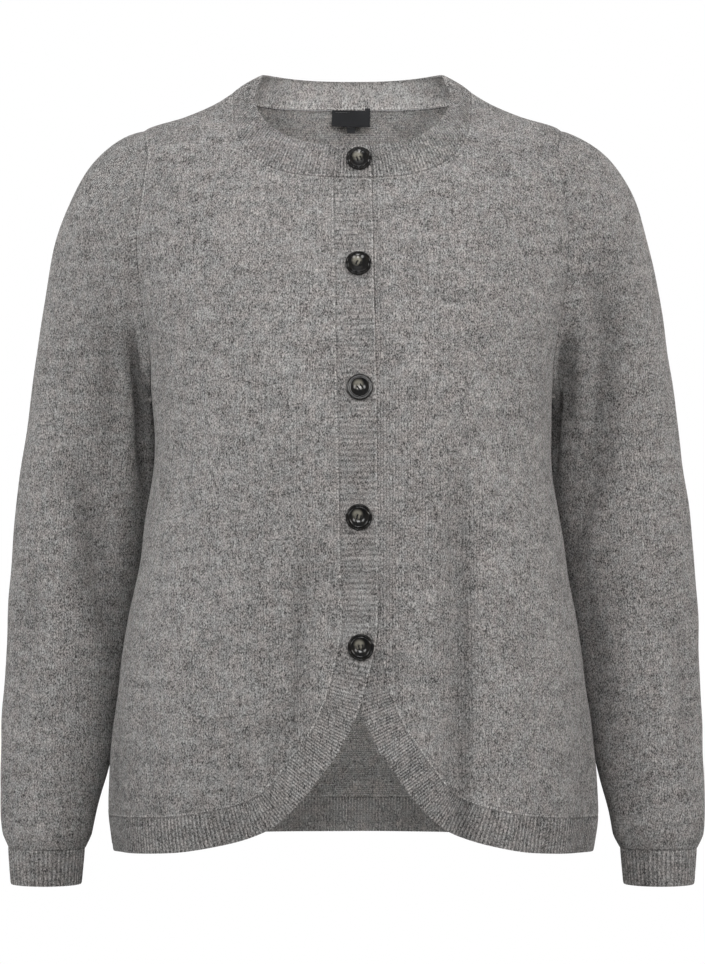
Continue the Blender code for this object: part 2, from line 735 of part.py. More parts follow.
def sleeve(side, front_rows, back_rows):
    """A tube from the armhole, over the shoulder's end and down the arm."""
    name = "sleeve_" + SIDE_NAMES[side]
    front = [FRONTS[side].point(*row[-1]) for row in front_rows][::-1]
    back = [CLOTHS["back"].point(*row[-1]) for row in back_rows]
    loop = [(front[0] + back[-1]) / 2] + front[1:-1]
    loop += [(front[-1] + back[0]) / 2] + back[1:-1]
    half = len(front) - 1
    turns = [math.pi * i / half for i in range(2 * half)]
    start = unit(np.array(SLEEVE_START) * (side, 1, 1))
    top_row = arm_row(ARM[0].height)
    below_row = arm_row(ARM[0].height - ELBOW_STEP)
    rings = []
    for step in range(CAP_ROWS + 1):
        t = (step / CAP_ROWS) ** CAP_EASE
        ring = []
        for place, turn in zip(loop, turns):
            foot = arm_point(name, side, top_row, turn)
            down = unit(arm_point(name, side, below_row, turn) - foot)
            high = (1 + math.cos(turn)) / 2
            first = place + start * SEAM_GAP
            second = first + start * mix(CAP_PULL.low, CAP_PULL.high, high)
            third = foot - down * mix(ARM_PULL.low, ARM_PULL.high, high)
            ring.append(bezier(first, second, third, foot, t))
        rings.append(ring)
    for height in np.linspace(ARM[0].height, ARM[-1].height, ARM_ROWS + 1)[1:]:
        row = arm_row(height)
        rings.append([arm_point(name, side, row, turn) for turn in turns])
    rings = np.array(rings)
    along = np.gradient(rings, axis=0)
    around = np.roll(rings, -1, axis=1) - np.roll(rings, 1, axis=1)
    normals = np.cross(around, along) * side
    normals /= np.linalg.norm(normals, axis=2)[:, :, None]
    count = len(turns)
    faces = []
    for i in range(len(rings) - 1):
        for j in range(count):
            k = (j + 1) % count
            low, high = i * count, (i + 1) * count
            faces.append([low + j, low + k, high + k, high + j])
    points = [Vector(p) for p in rings.reshape(-1, 3)]
    outward = [Vector(n) for n in normals.reshape(-1, 3)]
    finish(name, wall_mesh(points, outward, faces), GREY_KNIT, CLOTH_ROUGHNESS)
    return turns


def cuff(side, turns):
    name = "cuff_" + SIDE_NAMES[side]
    tops = [arm_point(name, side, CUFF_TOP, turn) for turn in turns]
    ends = [arm_point(name, side, CUFF_END, turn) for turn in turns]
    middle = np.array([side * CUFF_TOP.out, CUFF_TOP.back, 0.0])
    stations = free_stations(tops, ends, lambda p: (p - middle) * (1, 1, 0), closed=True)
    ribbed_strip(name, stations, CUFF_RIB_PITCH, closed=True)


# ------------------------------------------------------------------ trims
def button(number, place, outward):
    """A turned button with a raised rim and a dished middle."""
    turn = Vector((0, 0, 1)).rotation_difference(Vector(outward)).to_matrix()
    seat = Vector(place) + Vector(outward) * (RIB_HEIGHT + SEAM_GAP)
    mesh = bmesh.new()
    rings = []
    for point in BUTTON_PROFILE:
        ring = []
        for i in range(BUTTON_SIDES):
            angle = 2 * math.pi * i / BUTTON_SIDES
            flat = Vector((math.cos(angle), math.sin(angle), 0)) * point.radius
            ring.append(mesh.verts.new(seat + turn @ (flat + Vector((0, 0, point.height)))))
        rings.append(ring)
    for low, high in zip(rings, rings[1:]):
        for i in range(BUTTON_SIDES):
            j = (i + 1) % BUTTON_SIDES
            mesh.faces.new([low[i], low[j], high[j], high[i]])
    mesh.faces.new(rings[0])
    dish = mesh.verts.new(seat + turn @ Vector((0, 0, DISH_HEIGHT)))
    for i in range(BUTTON_SIDES):
        mesh.faces.new([rings[-1][i], rings[-1][(i + 1) % BUTTON_SIDES], dish])
    finish("button_" + str(number), mesh, DARK_HORN, BUTTON_ROUGHNESS)


def on_strip(stations, x, height):
    """The middle place on a strip nearest to a width and height, and its normal."""
    best = None
    for first, last in zip(stations, stations[1:]):
        for share in np.linspace(0, 1, STRIP_STEPS[0]):
            seam = mix(first.seam, last.seam, share)
            free = mix(first.free, last.free, share)
            normal = unit(mix(first.seam_normal, last.seam_normal, share))
            for over in np.linspace(0, 1, STRIP_STEPS[1]):
                place = mix(seam, free, over)
                away = math.hypot(place[0] - x, place[2] - height)
                if best is None or away < best[0]:
                    best = (away, place, normal)
    return best[1], best[2]


def buttons(neck_stations, band_stations):
    upper_end = neck_stations[-UPPER_END_STATIONS:]
    for i, (x, height) in enumerate(zip(BUTTON_ACROSS, BUTTON_HEIGHTS)):
        stations = upper_end if i == 0 else band_stations
        place, outward = on_strip(stations, x, height)
        button(i + 1, place, outward)


def hanging_label(name, half_width, top, drop):
    """A small woven piece that hangs straight down inside the back's neck seam."""
    cloth = CLOTHS["back"]
    points, faces = [], []
    for height in (top, top - drop / 2, top - drop):
        for x in (-half_width, 0.0, half_width):
            seam_height = neck_seam_height(x, "back")
            seam = cloth.point(cloth.share_at_width(x, seam_height), seam_height)
            points.append(Vector((x, seam[1], height)))
    for i in (0, 3):
        for j in (i, i + 1):
            faces.append([j, j + 1, j + 4, j + 3])
    depth = WALL + SEAM_GAP
    backward = [Vector((0, 1, 0))] * len(points)
    mesh = wall_mesh(points, backward, faces, depth + LABEL_THICKNESS, depth)
    finish(name, mesh, BLACK_WOVEN, WOVEN_ROUGHNESS)


def main():
    for thing in list(bpy.data.objects):
        bpy.data.objects.remove(thing)
    back_parts = back_panel()
    back_hem(back_parts)
    neck_lines, band_lines = {}, {}
    for side in (RIGHT, LEFT):
        rows, hem, middle, neck = front_panel(side)
        neck_lines[side] = neck
        band_lines[side] = front_band(side, hem, middle)
        turns = sleeve(side, rows, back_parts[side])
        cuff(side, turns)
    back_necks = {s: [r[0] for r in back_parts[s][YOKE_EDGE_ROWS:]] for s in (RIGHT, LEFT)}
    neck_stations = neckband(neck_lines, back_necks)
    buttons(neck_stations, band_lines[RIGHT])
    hanging_label("label", LABEL_HALF_WIDTH, LABEL_TOP, LABEL_DROP)
    tag_top = LABEL_TOP - LABEL_DROP - SEAM_GAP
    hanging_label("size_tag", TAG_HALF_WIDTH, tag_top, TAG_DROP)


main()
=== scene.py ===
"""Looks of the button cardigan: fine grey melange knit, filled out as worn.

Metres, +Z up, +Y towards the back, the wearer's left at +X. Every cloth is a thin
shell on the same figure as its solid: a stack of rounded rings, where a place is a
share of the half ring (-1 at the right side seam, 0 at the middle, +1 at the left
side seam) and a height. Finer folds, ribs, stitches and fibre are added here.
"""

import json
import math
from collections import namedtuple

import bpy
import numpy as np
from mathutils import Matrix, Vector
from mathutils.kdtree import KDTree

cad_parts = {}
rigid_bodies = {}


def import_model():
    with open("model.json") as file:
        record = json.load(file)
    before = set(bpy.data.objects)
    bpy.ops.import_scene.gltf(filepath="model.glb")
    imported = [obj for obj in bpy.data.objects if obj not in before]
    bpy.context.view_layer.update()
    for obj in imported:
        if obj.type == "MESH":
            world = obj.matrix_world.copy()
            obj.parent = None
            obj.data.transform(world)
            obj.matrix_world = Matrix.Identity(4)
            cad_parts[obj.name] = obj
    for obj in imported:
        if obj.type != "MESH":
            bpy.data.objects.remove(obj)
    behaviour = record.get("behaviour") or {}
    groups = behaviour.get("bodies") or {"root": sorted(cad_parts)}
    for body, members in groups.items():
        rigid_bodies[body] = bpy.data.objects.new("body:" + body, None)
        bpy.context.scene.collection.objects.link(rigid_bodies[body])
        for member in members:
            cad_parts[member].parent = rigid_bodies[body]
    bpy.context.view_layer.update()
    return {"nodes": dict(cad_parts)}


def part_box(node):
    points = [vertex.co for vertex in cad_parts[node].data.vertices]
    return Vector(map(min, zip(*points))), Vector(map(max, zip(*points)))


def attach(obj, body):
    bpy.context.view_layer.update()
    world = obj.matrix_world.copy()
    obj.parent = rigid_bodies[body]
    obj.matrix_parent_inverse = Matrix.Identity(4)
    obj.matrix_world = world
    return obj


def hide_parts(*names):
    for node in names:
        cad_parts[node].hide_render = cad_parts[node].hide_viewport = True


for default in list(bpy.data.objects):
    bpy.data.objects.remove(default)
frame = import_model()

# ------------------------------------------------------------------ cloth
SHELL = 0.0017
RIB_SHELL = 0.0019
CLOTH_SMOOTH_ANGLE = 60
SEAM_GAP = 0.00002
RIB_HEIGHT = 0.0004
BAND_RIB_HEIGHT = 0.00016
RIB_SHARPNESS = 0.75
RIB_PITCH = 0.0037
RIB_PITCHES = {"neckband": 0.0027, "hem_back": 0.0027, "cuff": 0.0040}
RIGHT, LEFT = -1, 1
SIDE_NAMES = {RIGHT: "right", LEFT: "left"}

# ------------------------------------------------------------------ figure
SQUARENESS = 2.3
RING_TURNS = 361
SHARE_STEPS = 280
HEIGHT_STEP = 0.001
GIRTH_REACH = 0.320
GIRTH_STEPS = 64
LINE_STEPS = 400
Ring = namedtuple("Ring", "height half_width front_depth back_depth middle")
FIGURE = (
    Ring(0.0020, 0.0800, 0.012, 0.036, 0.000),
    Ring(-0.0105, 0.1005, 0.022, 0.052, 0.000),
    Ring(-0.0216, 0.1185, 0.028, 0.068, 0.000),
    Ring(-0.0322, 0.1430, 0.035, 0.079, 0.000),
    Ring(-0.0421, 0.1740, 0.045, 0.087, 0.000),
    Ring(-0.0600, 0.1940, 0.061, 0.097, 0.000),
    Ring(-0.0890, 0.2000, 0.084, 0.108, 0.001),
    Ring(-0.1200, 0.1995, 0.104, 0.116, 0.003),
    Ring(-0.1600, 0.1930, 0.126, 0.122, 0.005),
    Ring(-0.2000, 0.1840, 0.141, 0.124, 0.007),
    Ring(-0.2500, 0.1720, 0.152, 0.122, 0.008),
    Ring(-0.3135, 0.1680, 0.157, 0.117, 0.008),
    Ring(-0.3860, 0.1775, 0.157, 0.113, 0.007),
    Ring(-0.4750, 0.1930, 0.158, 0.116, 0.004),
    Ring(-0.5500, 0.2030, 0.161, 0.124, 0.002),
    Ring(-0.6150, 0.2085, 0.165, 0.131, 0.000),
    Ring(-0.6560, 0.2035, 0.165, 0.133, 0.000),
)

# ------------------------------------------------------------------ seams
NECK_HALF_WIDTH = 0.1005
NECK_POINT_HEIGHT = -0.0105
NECK_DROP = {"front": 0.0785, "back": 0.0100}
NECK_ROUNDNESS = 3.0
SHOULDER_HEIGHT = -0.0440
UNDERARM_HEIGHT = -0.2720
ARMHOLE_REACH = {"front": 0.057, "back": 0.060}
ARMHOLE_ROUNDNESS = 2.2
HEM_SEAM_BACK = -0.6200
HEM_BACK = -0.6500

# ------------------------------------------------------------------ front edge
LAP_LIFT = 0.0016
LAP_FLAT = 0.035
LAP_FADE = 0.075
EDGE_STEPS = 400
SQUARE_END_STEPS = 3
# out is the free edge's distance beyond the middle of the lap, which itself drifts
# sideways down the front; width is the ribbed band's.
EdgePoint = namedtuple("EdgePoint", "out height width lap_middle")
FRONT_EDGE = (
    EdgePoint(-0.0157, -0.0893, 0.0310, 0.0000),
    EdgePoint(-0.0157, -0.2000, 0.0312, 0.0022),
    EdgePoint(-0.0155, -0.3300, 0.0305, 0.0044),
    EdgePoint(-0.0148, -0.4550, 0.0285, 0.0056),
    EdgePoint(-0.0033, -0.5145, 0.0275, 0.0056),
    EdgePoint(0.0120, -0.5532, 0.0270, 0.0056),
    EdgePoint(0.0325, -0.5830, 0.0270, 0.0050),
    EdgePoint(0.0520, -0.6077, 0.0270, 0.0045),
    EdgePoint(0.0745, -0.6258, 0.0280, 0.0040),
    EdgePoint(0.1080, -0.6380, 0.0285, 0.0020),
    EdgePoint(0.1500, -0.6465, 0.0290, 0.0000),
    EdgePoint(0.2035, -0.6550, 0.0295, 0.0000),
)
CURVE_START = -0.560
LAP_END = -0.523
# How far apart the front bands' ribs lie at a height.
BandPitch = namedtuple("BandPitch", "height pitch")
BAND_PITCHES = (
    BandPitch(-0.660, 0.0041),
    BandPitch(-0.632, 0.0040),
    BandPitch(-0.605, 0.0023),
    BandPitch(-0.530, 0.0023),
    BandPitch(-0.480, 0.0045),
    BandPitch(-0.18, 0.0045),
    BandPitch(-0.09, 0.0041),
)

# ------------------------------------------------------------------ neckband
BAND_TOP_HALF_WIDTH = 0.0850
BAND_TOP_LEAN = 0.094
BAND_TOP_LEAN_START = -0.020
BAND_TOP_DEPTH = {"front": 0.071, "back": 0.063}
BAND_TOP_HEIGHT = 0.0030
BAND_TOP_DROP = {"front": 0.0645, "back": -0.0012}
BAND_TOP_ARCH = {"front": 0.0, "back": 0.0030}
BAND_TOP_ROUNDNESS = 2.6
NECKBAND_LAP = {RIGHT: 0.0160, LEFT: 0.0150}
NECKBAND_CROWN = 0.0012
CORNER_REACH = 20

# ------------------------------------------------------------------ sleeves
Arm = namedtuple("Arm", "height out back half_width half_depth")
ARM = (
    Arm(-0.3100, 0.2240, 0.049, 0.0585, 0.0590),
    Arm(-0.3570, 0.2300, 0.053, 0.0590, 0.0560),
    Arm(-0.4420, 0.2410, 0.053, 0.0555, 0.0520),
    Arm(-0.5270, 0.2495, 0.042, 0.0505, 0.0480),
    Arm(-0.6000, 0.2580, 0.022, 0.0425, 0.0430),
    Arm(-0.6400, 0.2600, 0.009, 0.0385, 0.0390),
    Arm(-0.6525, 0.2604, 0.005, 0.0332, 0.0340),
)
CUFF_TOP = Arm(-0.6526, 0.2604, 0.005, 0.0325, 0.0335)
CUFF_END = Arm(-0.6830, 0.2602, -0.002, 0.0298, 0.0298)
SLEEVE_START = (0.93, 0.06, -0.20)
Pull = namedtuple("Pull", "low high")
CAP_PULL = Pull(0.004, 0.075)
ARM_PULL = Pull(0.020, 0.160)
CAP_EASE = 1.5
ELBOW_STEP = 0.02

# ------------------------------------------------------------------ folds
# across is the distance round the body from the middle (a turn in degrees on a
# sleeve, from its outer side to the front), lean is how far it drifts downwards,
# bow how far its middle bulges sideways, and fade the length of its soft ends.
Fold = namedtuple("Fold", "piece across top bottom spread depth lean bow fade")
FOLDS = (
    Fold("front_left", 0.090, -0.290, -0.720, 0.0105, -0.0095, -0.002, 0.0, 0.10),
    Fold("front_left", 0.122, -0.440, -0.720, 0.020, 0.0030, 0.004, 0.0, 0.10),
    Fold("front_left", 0.225, -0.480, -0.740, 0.028, -0.0050, 0.010, 0.0, 0.12),
    Fold("front_right", 0.040, -0.360, -0.580, 0.010, -0.0060, 0.004, 0.0, 0.08),
    Fold("front_right", 0.098, -0.520, -0.720, 0.014, -0.0045, 0.004, 0.0, 0.08),
    Fold("front_right", 0.190, -0.480, -0.700, 0.026, -0.0030, 0.012, 0.0, 0.10),
    Fold("front_right", 0.250, -0.500, -0.760, 0.030, -0.0055, 0.0, 0.0, 0.12),
    Fold("front_right", 0.052, -0.500, -0.620, 0.018, -0.0045, 0.020, 0.0, 0.05),
    Fold("back", 0.100, -0.360, -0.700, 0.024, -0.0045, 0.006, 0.0, 0.10),
    Fold("back", -0.115, -0.410, -0.700, 0.022, -0.0050, -0.006, 0.0, 0.10),
    Fold("back", 0.010, -0.480, -0.700, 0.030, 0.0035, 0.0, 0.0, 0.10),
    Fold("sleeve_right", 75.0, -0.290, -0.520, 15.0, -0.0105, 74.0, 0.0, 0.10),
    Fold("sleeve_right", 55.0, -0.380, -0.580, 14.0, -0.0045, -10.0, 0.0, 0.10),
    Fold("sleeve_right", 118.0, -0.215, -0.370, 8.0, -0.0105, 41.0, 0.0, 0.07),
    Fold("sleeve_right", 100.0, -0.200, -0.400, 9.0, 0.0030, 40.0, 0.0, 0.08),
    Fold("sleeve_right", 178.0, -0.530, -0.640, 30.0, 0.0042, 0.0, 0.0, 0.05),
    Fold("sleeve_left", 80.0, -0.250, -0.430, 13.0, -0.0090, 74.0, 0.0, 0.08),
    Fold("sleeve_left", 50.0, -0.420, -0.620, 14.0, -0.0050, -6.0, 0.0, 0.10),
    Fold("sleeve_left", 130.0, -0.380, -0.580, 16.0, -0.0035, 10.0, 0.0, 0.08),
    Fold("sleeve_left", 149.0, -0.245, -0.350, 7.0, -0.0115, 8.0, 0.0, 0.06),
    Fold("sleeve_left", 178.0, -0.530, -0.640, 30.0, 0.0042, 0.0, 0.0, 0.05),
    Fold("sleeve_right", 210.0, -0.370, -0.550, 20.0, -0.0040, 20.0, 0.0, 0.10),
    Fold("sleeve_left", 210.0, -0.360, -0.540, 20.0, -0.0040, 20.0, 0.0, 0.10),
)
# On a sleeve's head the folds run down from the armhole: turn is where one starts,
# start and end are shares of the way from the armhole to the upper arm.
HeadFold = namedtuple("HeadFold", "piece turn start end spread depth lean fade")
HEAD_FOLDS = (
    HeadFold("sleeve_right", 112.0, 0.30, 1.00, 8.0, -0.0075, 31.0, 0.35),
    HeadFold("sleeve_right", 94.0, 0.15, 1.00, 10.0, 0.0030, 28.0, 0.30),
    HeadFold("sleeve_left", 140.0, 0.05, 1.00, 10.0, -0.0050, -10.0, 0.30),
    HeadFold("sleeve_left", 118.0, 0.10, 1.00, 10.0, 0.0030, -22.0, 0.30),
    HeadFold("sleeve_left", 95.0, 0.25, 1.00, 12.0, -0.0035, -15.0, 0.30),
    HeadFold("sleeve_right", 215.0, 0.05, 1.00, 12.0, -0.0045, 25.0, 0.30),
    HeadFold("sleeve_left", 220.0, 0.05, 1.00, 12.0, -0.0045, 22.0, 0.30),
)
# The slow unevenness of soft cloth: waves in cycles per metre along x, y and z.
Wave = namedtuple("Wave", "x y z start height")
UNEVENNESS = (
    Wave(9.0, 3.0, 4.0, 0.10, 0.00045),
    Wave(-5.0, 6.0, 11.0, 0.45, 0.00040),
    Wave(17.0, -9.0, 7.0, 0.70, 0.00022),
    Wave(-13.0, 12.0, 19.0, 0.25, 0.00016),
)

# ------------------------------------------------------------------ grids
FRONT_COLUMNS = 84
YOKE_EDGE_ROWS = 52
NECK_ROWS = 36
FRONT_BODY_ROWS = 92
BACK_COLUMNS = 80
BACK_BODY_ROWS = 100
HEAD_ROWS = 64
ARM_ROWS = 98
RIB_SAMPLES = 8
STRIP_ROWS = (0.0, 0.03, 0.10, 0.30, 0.50, 0.70, 0.88, 0.96, 1.0)
FREE_EDGE_DIP = (0.0, 0.0, 0.0, 0.0, 0.0, 0.0, 0.0, 0.0001, 0.0004)
SEAM_DIP = 0.00015
SEAM_REACH = 0.0045
WELD = 6
BACK_YOKE_ROWS = 72
SLEEVE_HALF_COLUMNS = 53
SLEEVE_EASE = 0.15
NECKBAND_LAP_STEPS = 14
NECKBAND_STEPS = 44
SEAM_PINCH = 0.7
SEAM_PINCH_REACH = 0.12

# ------------------------------------------------------------------ yarn and stitches
YARN_WARM = (0.271, 0.257, 0.250, 1.0)
YARN_COOL = (0.258, 0.257, 0.254, 1.0)
TONE_SCALE = 110.0
CLOTH_ROUGHNESS = 0.92
JERSEY_RELIEF = 0.0006
PURL_RELIEF = 0.0005
RIB_RELIEF = 0.0004
BAND_RELIEF = 0.0002
CLOTH_SHEEN = {"Sheen Weight": 0.12, "Sheen Roughness": 0.5, "Specular IOR Level": 0.25}
# The inner faces are painted lighter than the outside yarn: painted light inside the neck and the hem,
# with the two fill lamps.
INSIDE_PAINTED_LIGHT = 2.55
RIB_INSIDE_PAINTED_LIGHT = 3.40
NECK_INSIDE_PAINTED_LIGHT = 1.80
RIB_SHADE = 0.955
BAND_SHADE = 0.88
FLECK_SCALE = 1050.0
FLECK_DEPTH = 5.2
FLECK_STRETCH = (1.1, 0.45, 0.65)
TUFT_SCALE = 260.0
TUFT_DEPTH = 1.10
CLOUD_SCALE = 60.0
CLOUD_DEPTH = 0.80
CLOUD_STRETCH = (0.6, 0.6, 1.9)
DARKEST_FIBRE = 0.12
INSIDE_CONTRAST = 0.75
WALE = 0.0025
COURSE = 0.0019
# Painted shade in the furrows between loops, wales and ribs; stronger on the bands' ribs low down.
LOOP_SHADE = 0.19
RIB_LOOP_SHADE = 0.37
BAND_LOOP_SHADE = 0.24
INSIDE_LOOP_SHADE = 0.50
NECK_LOOP_SHADE = 0.30
LOW_RIB_PAINTED_SHADE = 0.34
LOW_RIB_HEIGHTS = (-0.560, -0.500)
RIB_MEAN = 0.60
COURSE_SHADE = 0.06
GROOVE_SHADE = 0.20
CHAIN_SHADE = 0.55
FUZZ_HEIGHT = 0.9
TUFT_HEIGHT = 0.6
CHAIN_HEIGHT = 0.8
GROOVE_HEIGHT = 0.3
SEAM_GROOVE = 0.0012
CHAIN_OFFSET = 0.0016
CHAIN_WIDTH = 0.0009
CHAIN_PITCH = 0.0026
CHAIN_GAP = (0.26, 0.42)
STITCHES = {"neckband": 0.4, "band": 0.0, "hem_back": 0.0, "cuff": 0.2}
EDGE_STITCHES = 0.9
ARMHOLE_STITCHES = {RIGHT: 0.9, LEFT: 0.1}
# Painted shadow beside the upper front band's free edge, and a painted highlight along that edge.
LAP_SHADE = 0.45
LAP_SHADOW = 0.0024
PAINTED_RIM_HIGHLIGHT = 0.40
RIM_WIDTH = 0.0017
# Painted shade in fold troughs and painted light on fold ridges, per metre of fold shift; the limit caps
# the troughs' painted shade.
CREASE_SHADE = 26.0
CREASE_LIMIT = 0.0055
# Painted shade on the inside, from below the neck opening down to near the hem.
INNER_SHADE = 0.26
INNER_SHADE_TOP = (-0.058, -0.030)
INNER_SHADE_END = (-0.500, -0.400)
FAR = 1.0

# ------------------------------------------------------------------ buttons
ProfilePoint = namedtuple("ProfilePoint", "radius height")
BUTTON_PROFILE = (
    ProfilePoint(0.0082, 0.0000),
    ProfilePoint(0.0097, 0.0004),
    ProfilePoint(0.0105, 0.0011),
    ProfilePoint(0.0108, 0.0019),
    ProfilePoint(0.0107, 0.0027),
    ProfilePoint(0.0103, 0.0033),
    ProfilePoint(0.0099, 0.0035),
    ProfilePoint(0.0095, 0.0034),
    ProfilePoint(0.0092, 0.0030),
    ProfilePoint(0.0089, 0.0030),
    ProfilePoint(0.0086, 0.0034),
    ProfilePoint(0.0081, 0.0036),
    ProfilePoint(0.0075, 0.0035),
    ProfilePoint(0.0066, 0.0031),
    ProfilePoint(0.0054, 0.0026),
    ProfilePoint(0.0040, 0.0022),
    ProfilePoint(0.0022, 0.0020),
)
BUTTON_SIDES = 72
BUTTON_SMOOTH_ANGLE = 50
HOLE_OFFSET = 0.0015
HOLE_RADIUS = 0.0008
HOLE_SIDES = 16
HOLE_DEPTH = 0.02
THREAD_RADIUS = 0.00026
THREAD_HEIGHT = 0.0019
THREAD_FLATNESS = 0.45
THREAD_STEPS = 32
THREAD_SIDES = 8
BUTTON_SPINS = (18.0, -24.0, 33.0, -12.0, 8.0)
HORN_BLACK = (0.0075, 0.0075, 0.0080, 1.0)
HORN_BROWN = (0.0130, 0.0115, 0.0095, 1.0)
# The dish's pale patch is a painted reflection of the lamps in its upper left, broken up by the horn's
# own beige clouds.
HORN_AND_REFLECTION_BEIGE = (0.2300, 0.2200, 0.1850, 1.0)
REFLECTION_MIDDLE = (-0.0013, 0.0021)
REFLECTION_REACH = 0.0052
HORN_CLOUD_SCALE = 160.0
HORN_STREAK_SCALE = 300.0
THREAD_BLACK = (0.010, 0.010, 0.011)
THREAD_SCALE = 2500.0

# ------------------------------------------------------------------ label
TAPE_CUTS = 10
TAPE_LIFT = 0.0008
TAPE_THICKNESS = 0.0005
TAPE_THREAD = 0.0006
TAPE_CLOUD_SCALE = 90.0
TAPE_BLACK = (0.0110, 0.0120, 0.0150)
LABEL_TILT = -1.5
LABEL_SHIFT = (-0.0013, 0.0, 0.0034)
LABEL_BOW = -0.0008

# ------------------------------------------------------------------ cut
# Flat sizes of the pieces as knitted, before they were linked together.
Cut = namedtuple("Cut", "width length area held")
CUT = {
    "back": Cut(0.560, 0.640, 0.281, "hung"),
    "front": Cut(0.290, 0.640, 0.136, "hung"),
    "sleeve": Cut(0.390, 0.560, 0.179, "hung"),
    "band": Cut(0.029, 0.880, None, "hung"),
    "hem_back": Cut(0.560, 0.031, None, "hung"),
    "neckband": Cut(0.620, 0.027, None, "hung"),
    "cuff": Cut(0.200, 0.031, None, "hung"),
}
LABEL_CUT = (0.033, 0.0165)

# ------------------------------------------------------------------ studio
CAMERA_DISTANCE = 3.5
CAMERA_LEVEL = -0.342
VIEW_HEIGHT = 0.8194
AIM = (0.0, 0.0, -0.29)
Lamp = namedtuple("Lamp", "name place size power spread colour")
LAMPS = (
    Lamp("front", (0.0, -4.1, 0.9), 1.0, 2.58, 42, (1.0, 0.99, 0.98)),
    Lamp("left", (-1.3, -3.0, 0.45), 0.9, 1.55, 45, (1.0, 0.995, 0.985)),
    Lamp("right", (1.3, -3.0, 0.45), 0.9, 1.53, 45, (1.0, 0.97, 0.95)),
    Lamp("edge_left", (-3.0, -0.9, 0.90), 0.9, 2.5, 36, (1.0, 0.995, 0.985)),
    Lamp("edge_right", (3.0, -0.9, 0.90), 0.9, 2.4, 36, (1.0, 0.97, 0.95)),
    Lamp("top", (0.0, -0.6, 2.0), 1.4, 1.35, 120, (1.0, 0.98, 0.97)),
    Lamp("back_left", (2.0, 2.6, 0.8), 2.0, 20.0, 160, (1.0, 0.97, 0.94)),
    Lamp("back_right", (-2.0, 2.6, 0.8), 2.0, 20.0, 160, (1.0, 0.97, 0.94)),
)
HEM_FILL = Lamp("hem_fill", (0.0, -0.06, -0.32), 0.10, 0.155, 170, (1.0, 1.0, 1.0))
HEM_FILL_AIM = (0.0, 0.11, -0.60)
NECK_FILL = Lamp("neck_fill", (0.0, -0.14, 0.14), 0.16, 0.034, 90, (1.0, 1.0, 1.0))
NECK_FILL_AIM = (0.0, 0.09, -0.03)
WORLD_COLOUR = (1.0, 1.0, 1.0, 1.0)
WORLD_STRENGTH = 0.25
BACKDROP_STRENGTH = 1.0
FLOOR_SIZE = 9.0
FLOOR_HEIGHT = -1.45
FLOOR_PALE = (0.40, 0.40, 0.39)


# ------------------------------------------------------------------ numbers
class Table:
    """Smooth values between the rows of a table whose first column is a height."""

    def __init__(self, rows):
        rows = sorted(rows)
        self.at = np.array([row[0] for row in rows])
        self.values = np.array([row[1:] for row in rows])
        self.steps = np.diff(self.at)
        rises = np.diff(self.values, axis=0) / self.steps[:, None]
        before, after = rises[:-1], rises[1:]
        product = before * after
        total = np.where(product > 0, before + after, 1.0)
        inner = np.where(product > 0, 2 * product / total, 0.0)
        self.slopes = np.vstack([rises[:1], inner, rises[-1:]])

    def rows(self, at):
        at = np.asarray(at, float)
        i = np.clip(np.searchsorted(self.at, at) - 1, 0, len(self.at) - 2)
        step = self.steps[i][..., None]
        u = (at - self.at[i])[..., None] / step
        low, high = self.values[i], self.values[i + 1]
        bend = u * u * (3 - 2 * u)
        rise = u * (1 - u) ** 2 * step * self.slopes[i]
        fall = u * u * (u - 1) * step * self.slopes[i + 1]
        return low + bend * (high - low) + rise + fall


FIGURE_TABLE = Table(FIGURE)
ARM_TABLE = Table(ARM)


def ease(value):
    value = np.clip(value, 0.0, 1.0)
    return value * value * (3 - 2 * value)


def unit(vectors):
    return vectors / np.linalg.norm(vectors, axis=-1, keepdims=True)


def mix(low, high, share):
    return low + (high - low) * share


def lengths_along(points, axis=0):
    """Distance from the first point to each point of a line, or of each line of a grid."""
    steps = np.linalg.norm(np.diff(points, axis=axis), axis=-1)
    start = np.zeros_like(np.take(steps, [0], axis=axis))
    return np.concatenate([start, np.cumsum(steps, axis=axis)], axis=axis)


def along_line(points, lengths, wanted):
    return np.array([np.interp(wanted, lengths, column) for column in points.T]).T


def evenly(points, count, measured=None):
    """Points at equal distances along a fine line, measured on it or on its image."""
    lengths = lengths_along(points if measured is None else measured)
    return along_line(points, lengths, np.linspace(0, lengths[-1], count + 1))


def grid_normals(points, outward):
    """Unit normals of a grid of points, on the side where outward points."""
    down = np.gradient(points, axis=0)
    over = np.gradient(points, axis=1)
    normals = unit(np.cross(over, down))
    if np.sum(normals * outward) < 0:
        normals = -normals
    return normals


def unevenness(points):
    """Slow soft relief, the same for neighbouring pieces."""
    relief = np.zeros(points.shape[:-1])
    for wave in UNEVENNESS:
        turns = points @ np.array(wave[:3]) + wave.start
        relief += wave.height * np.sin(2 * math.pi * turns)
    return relief


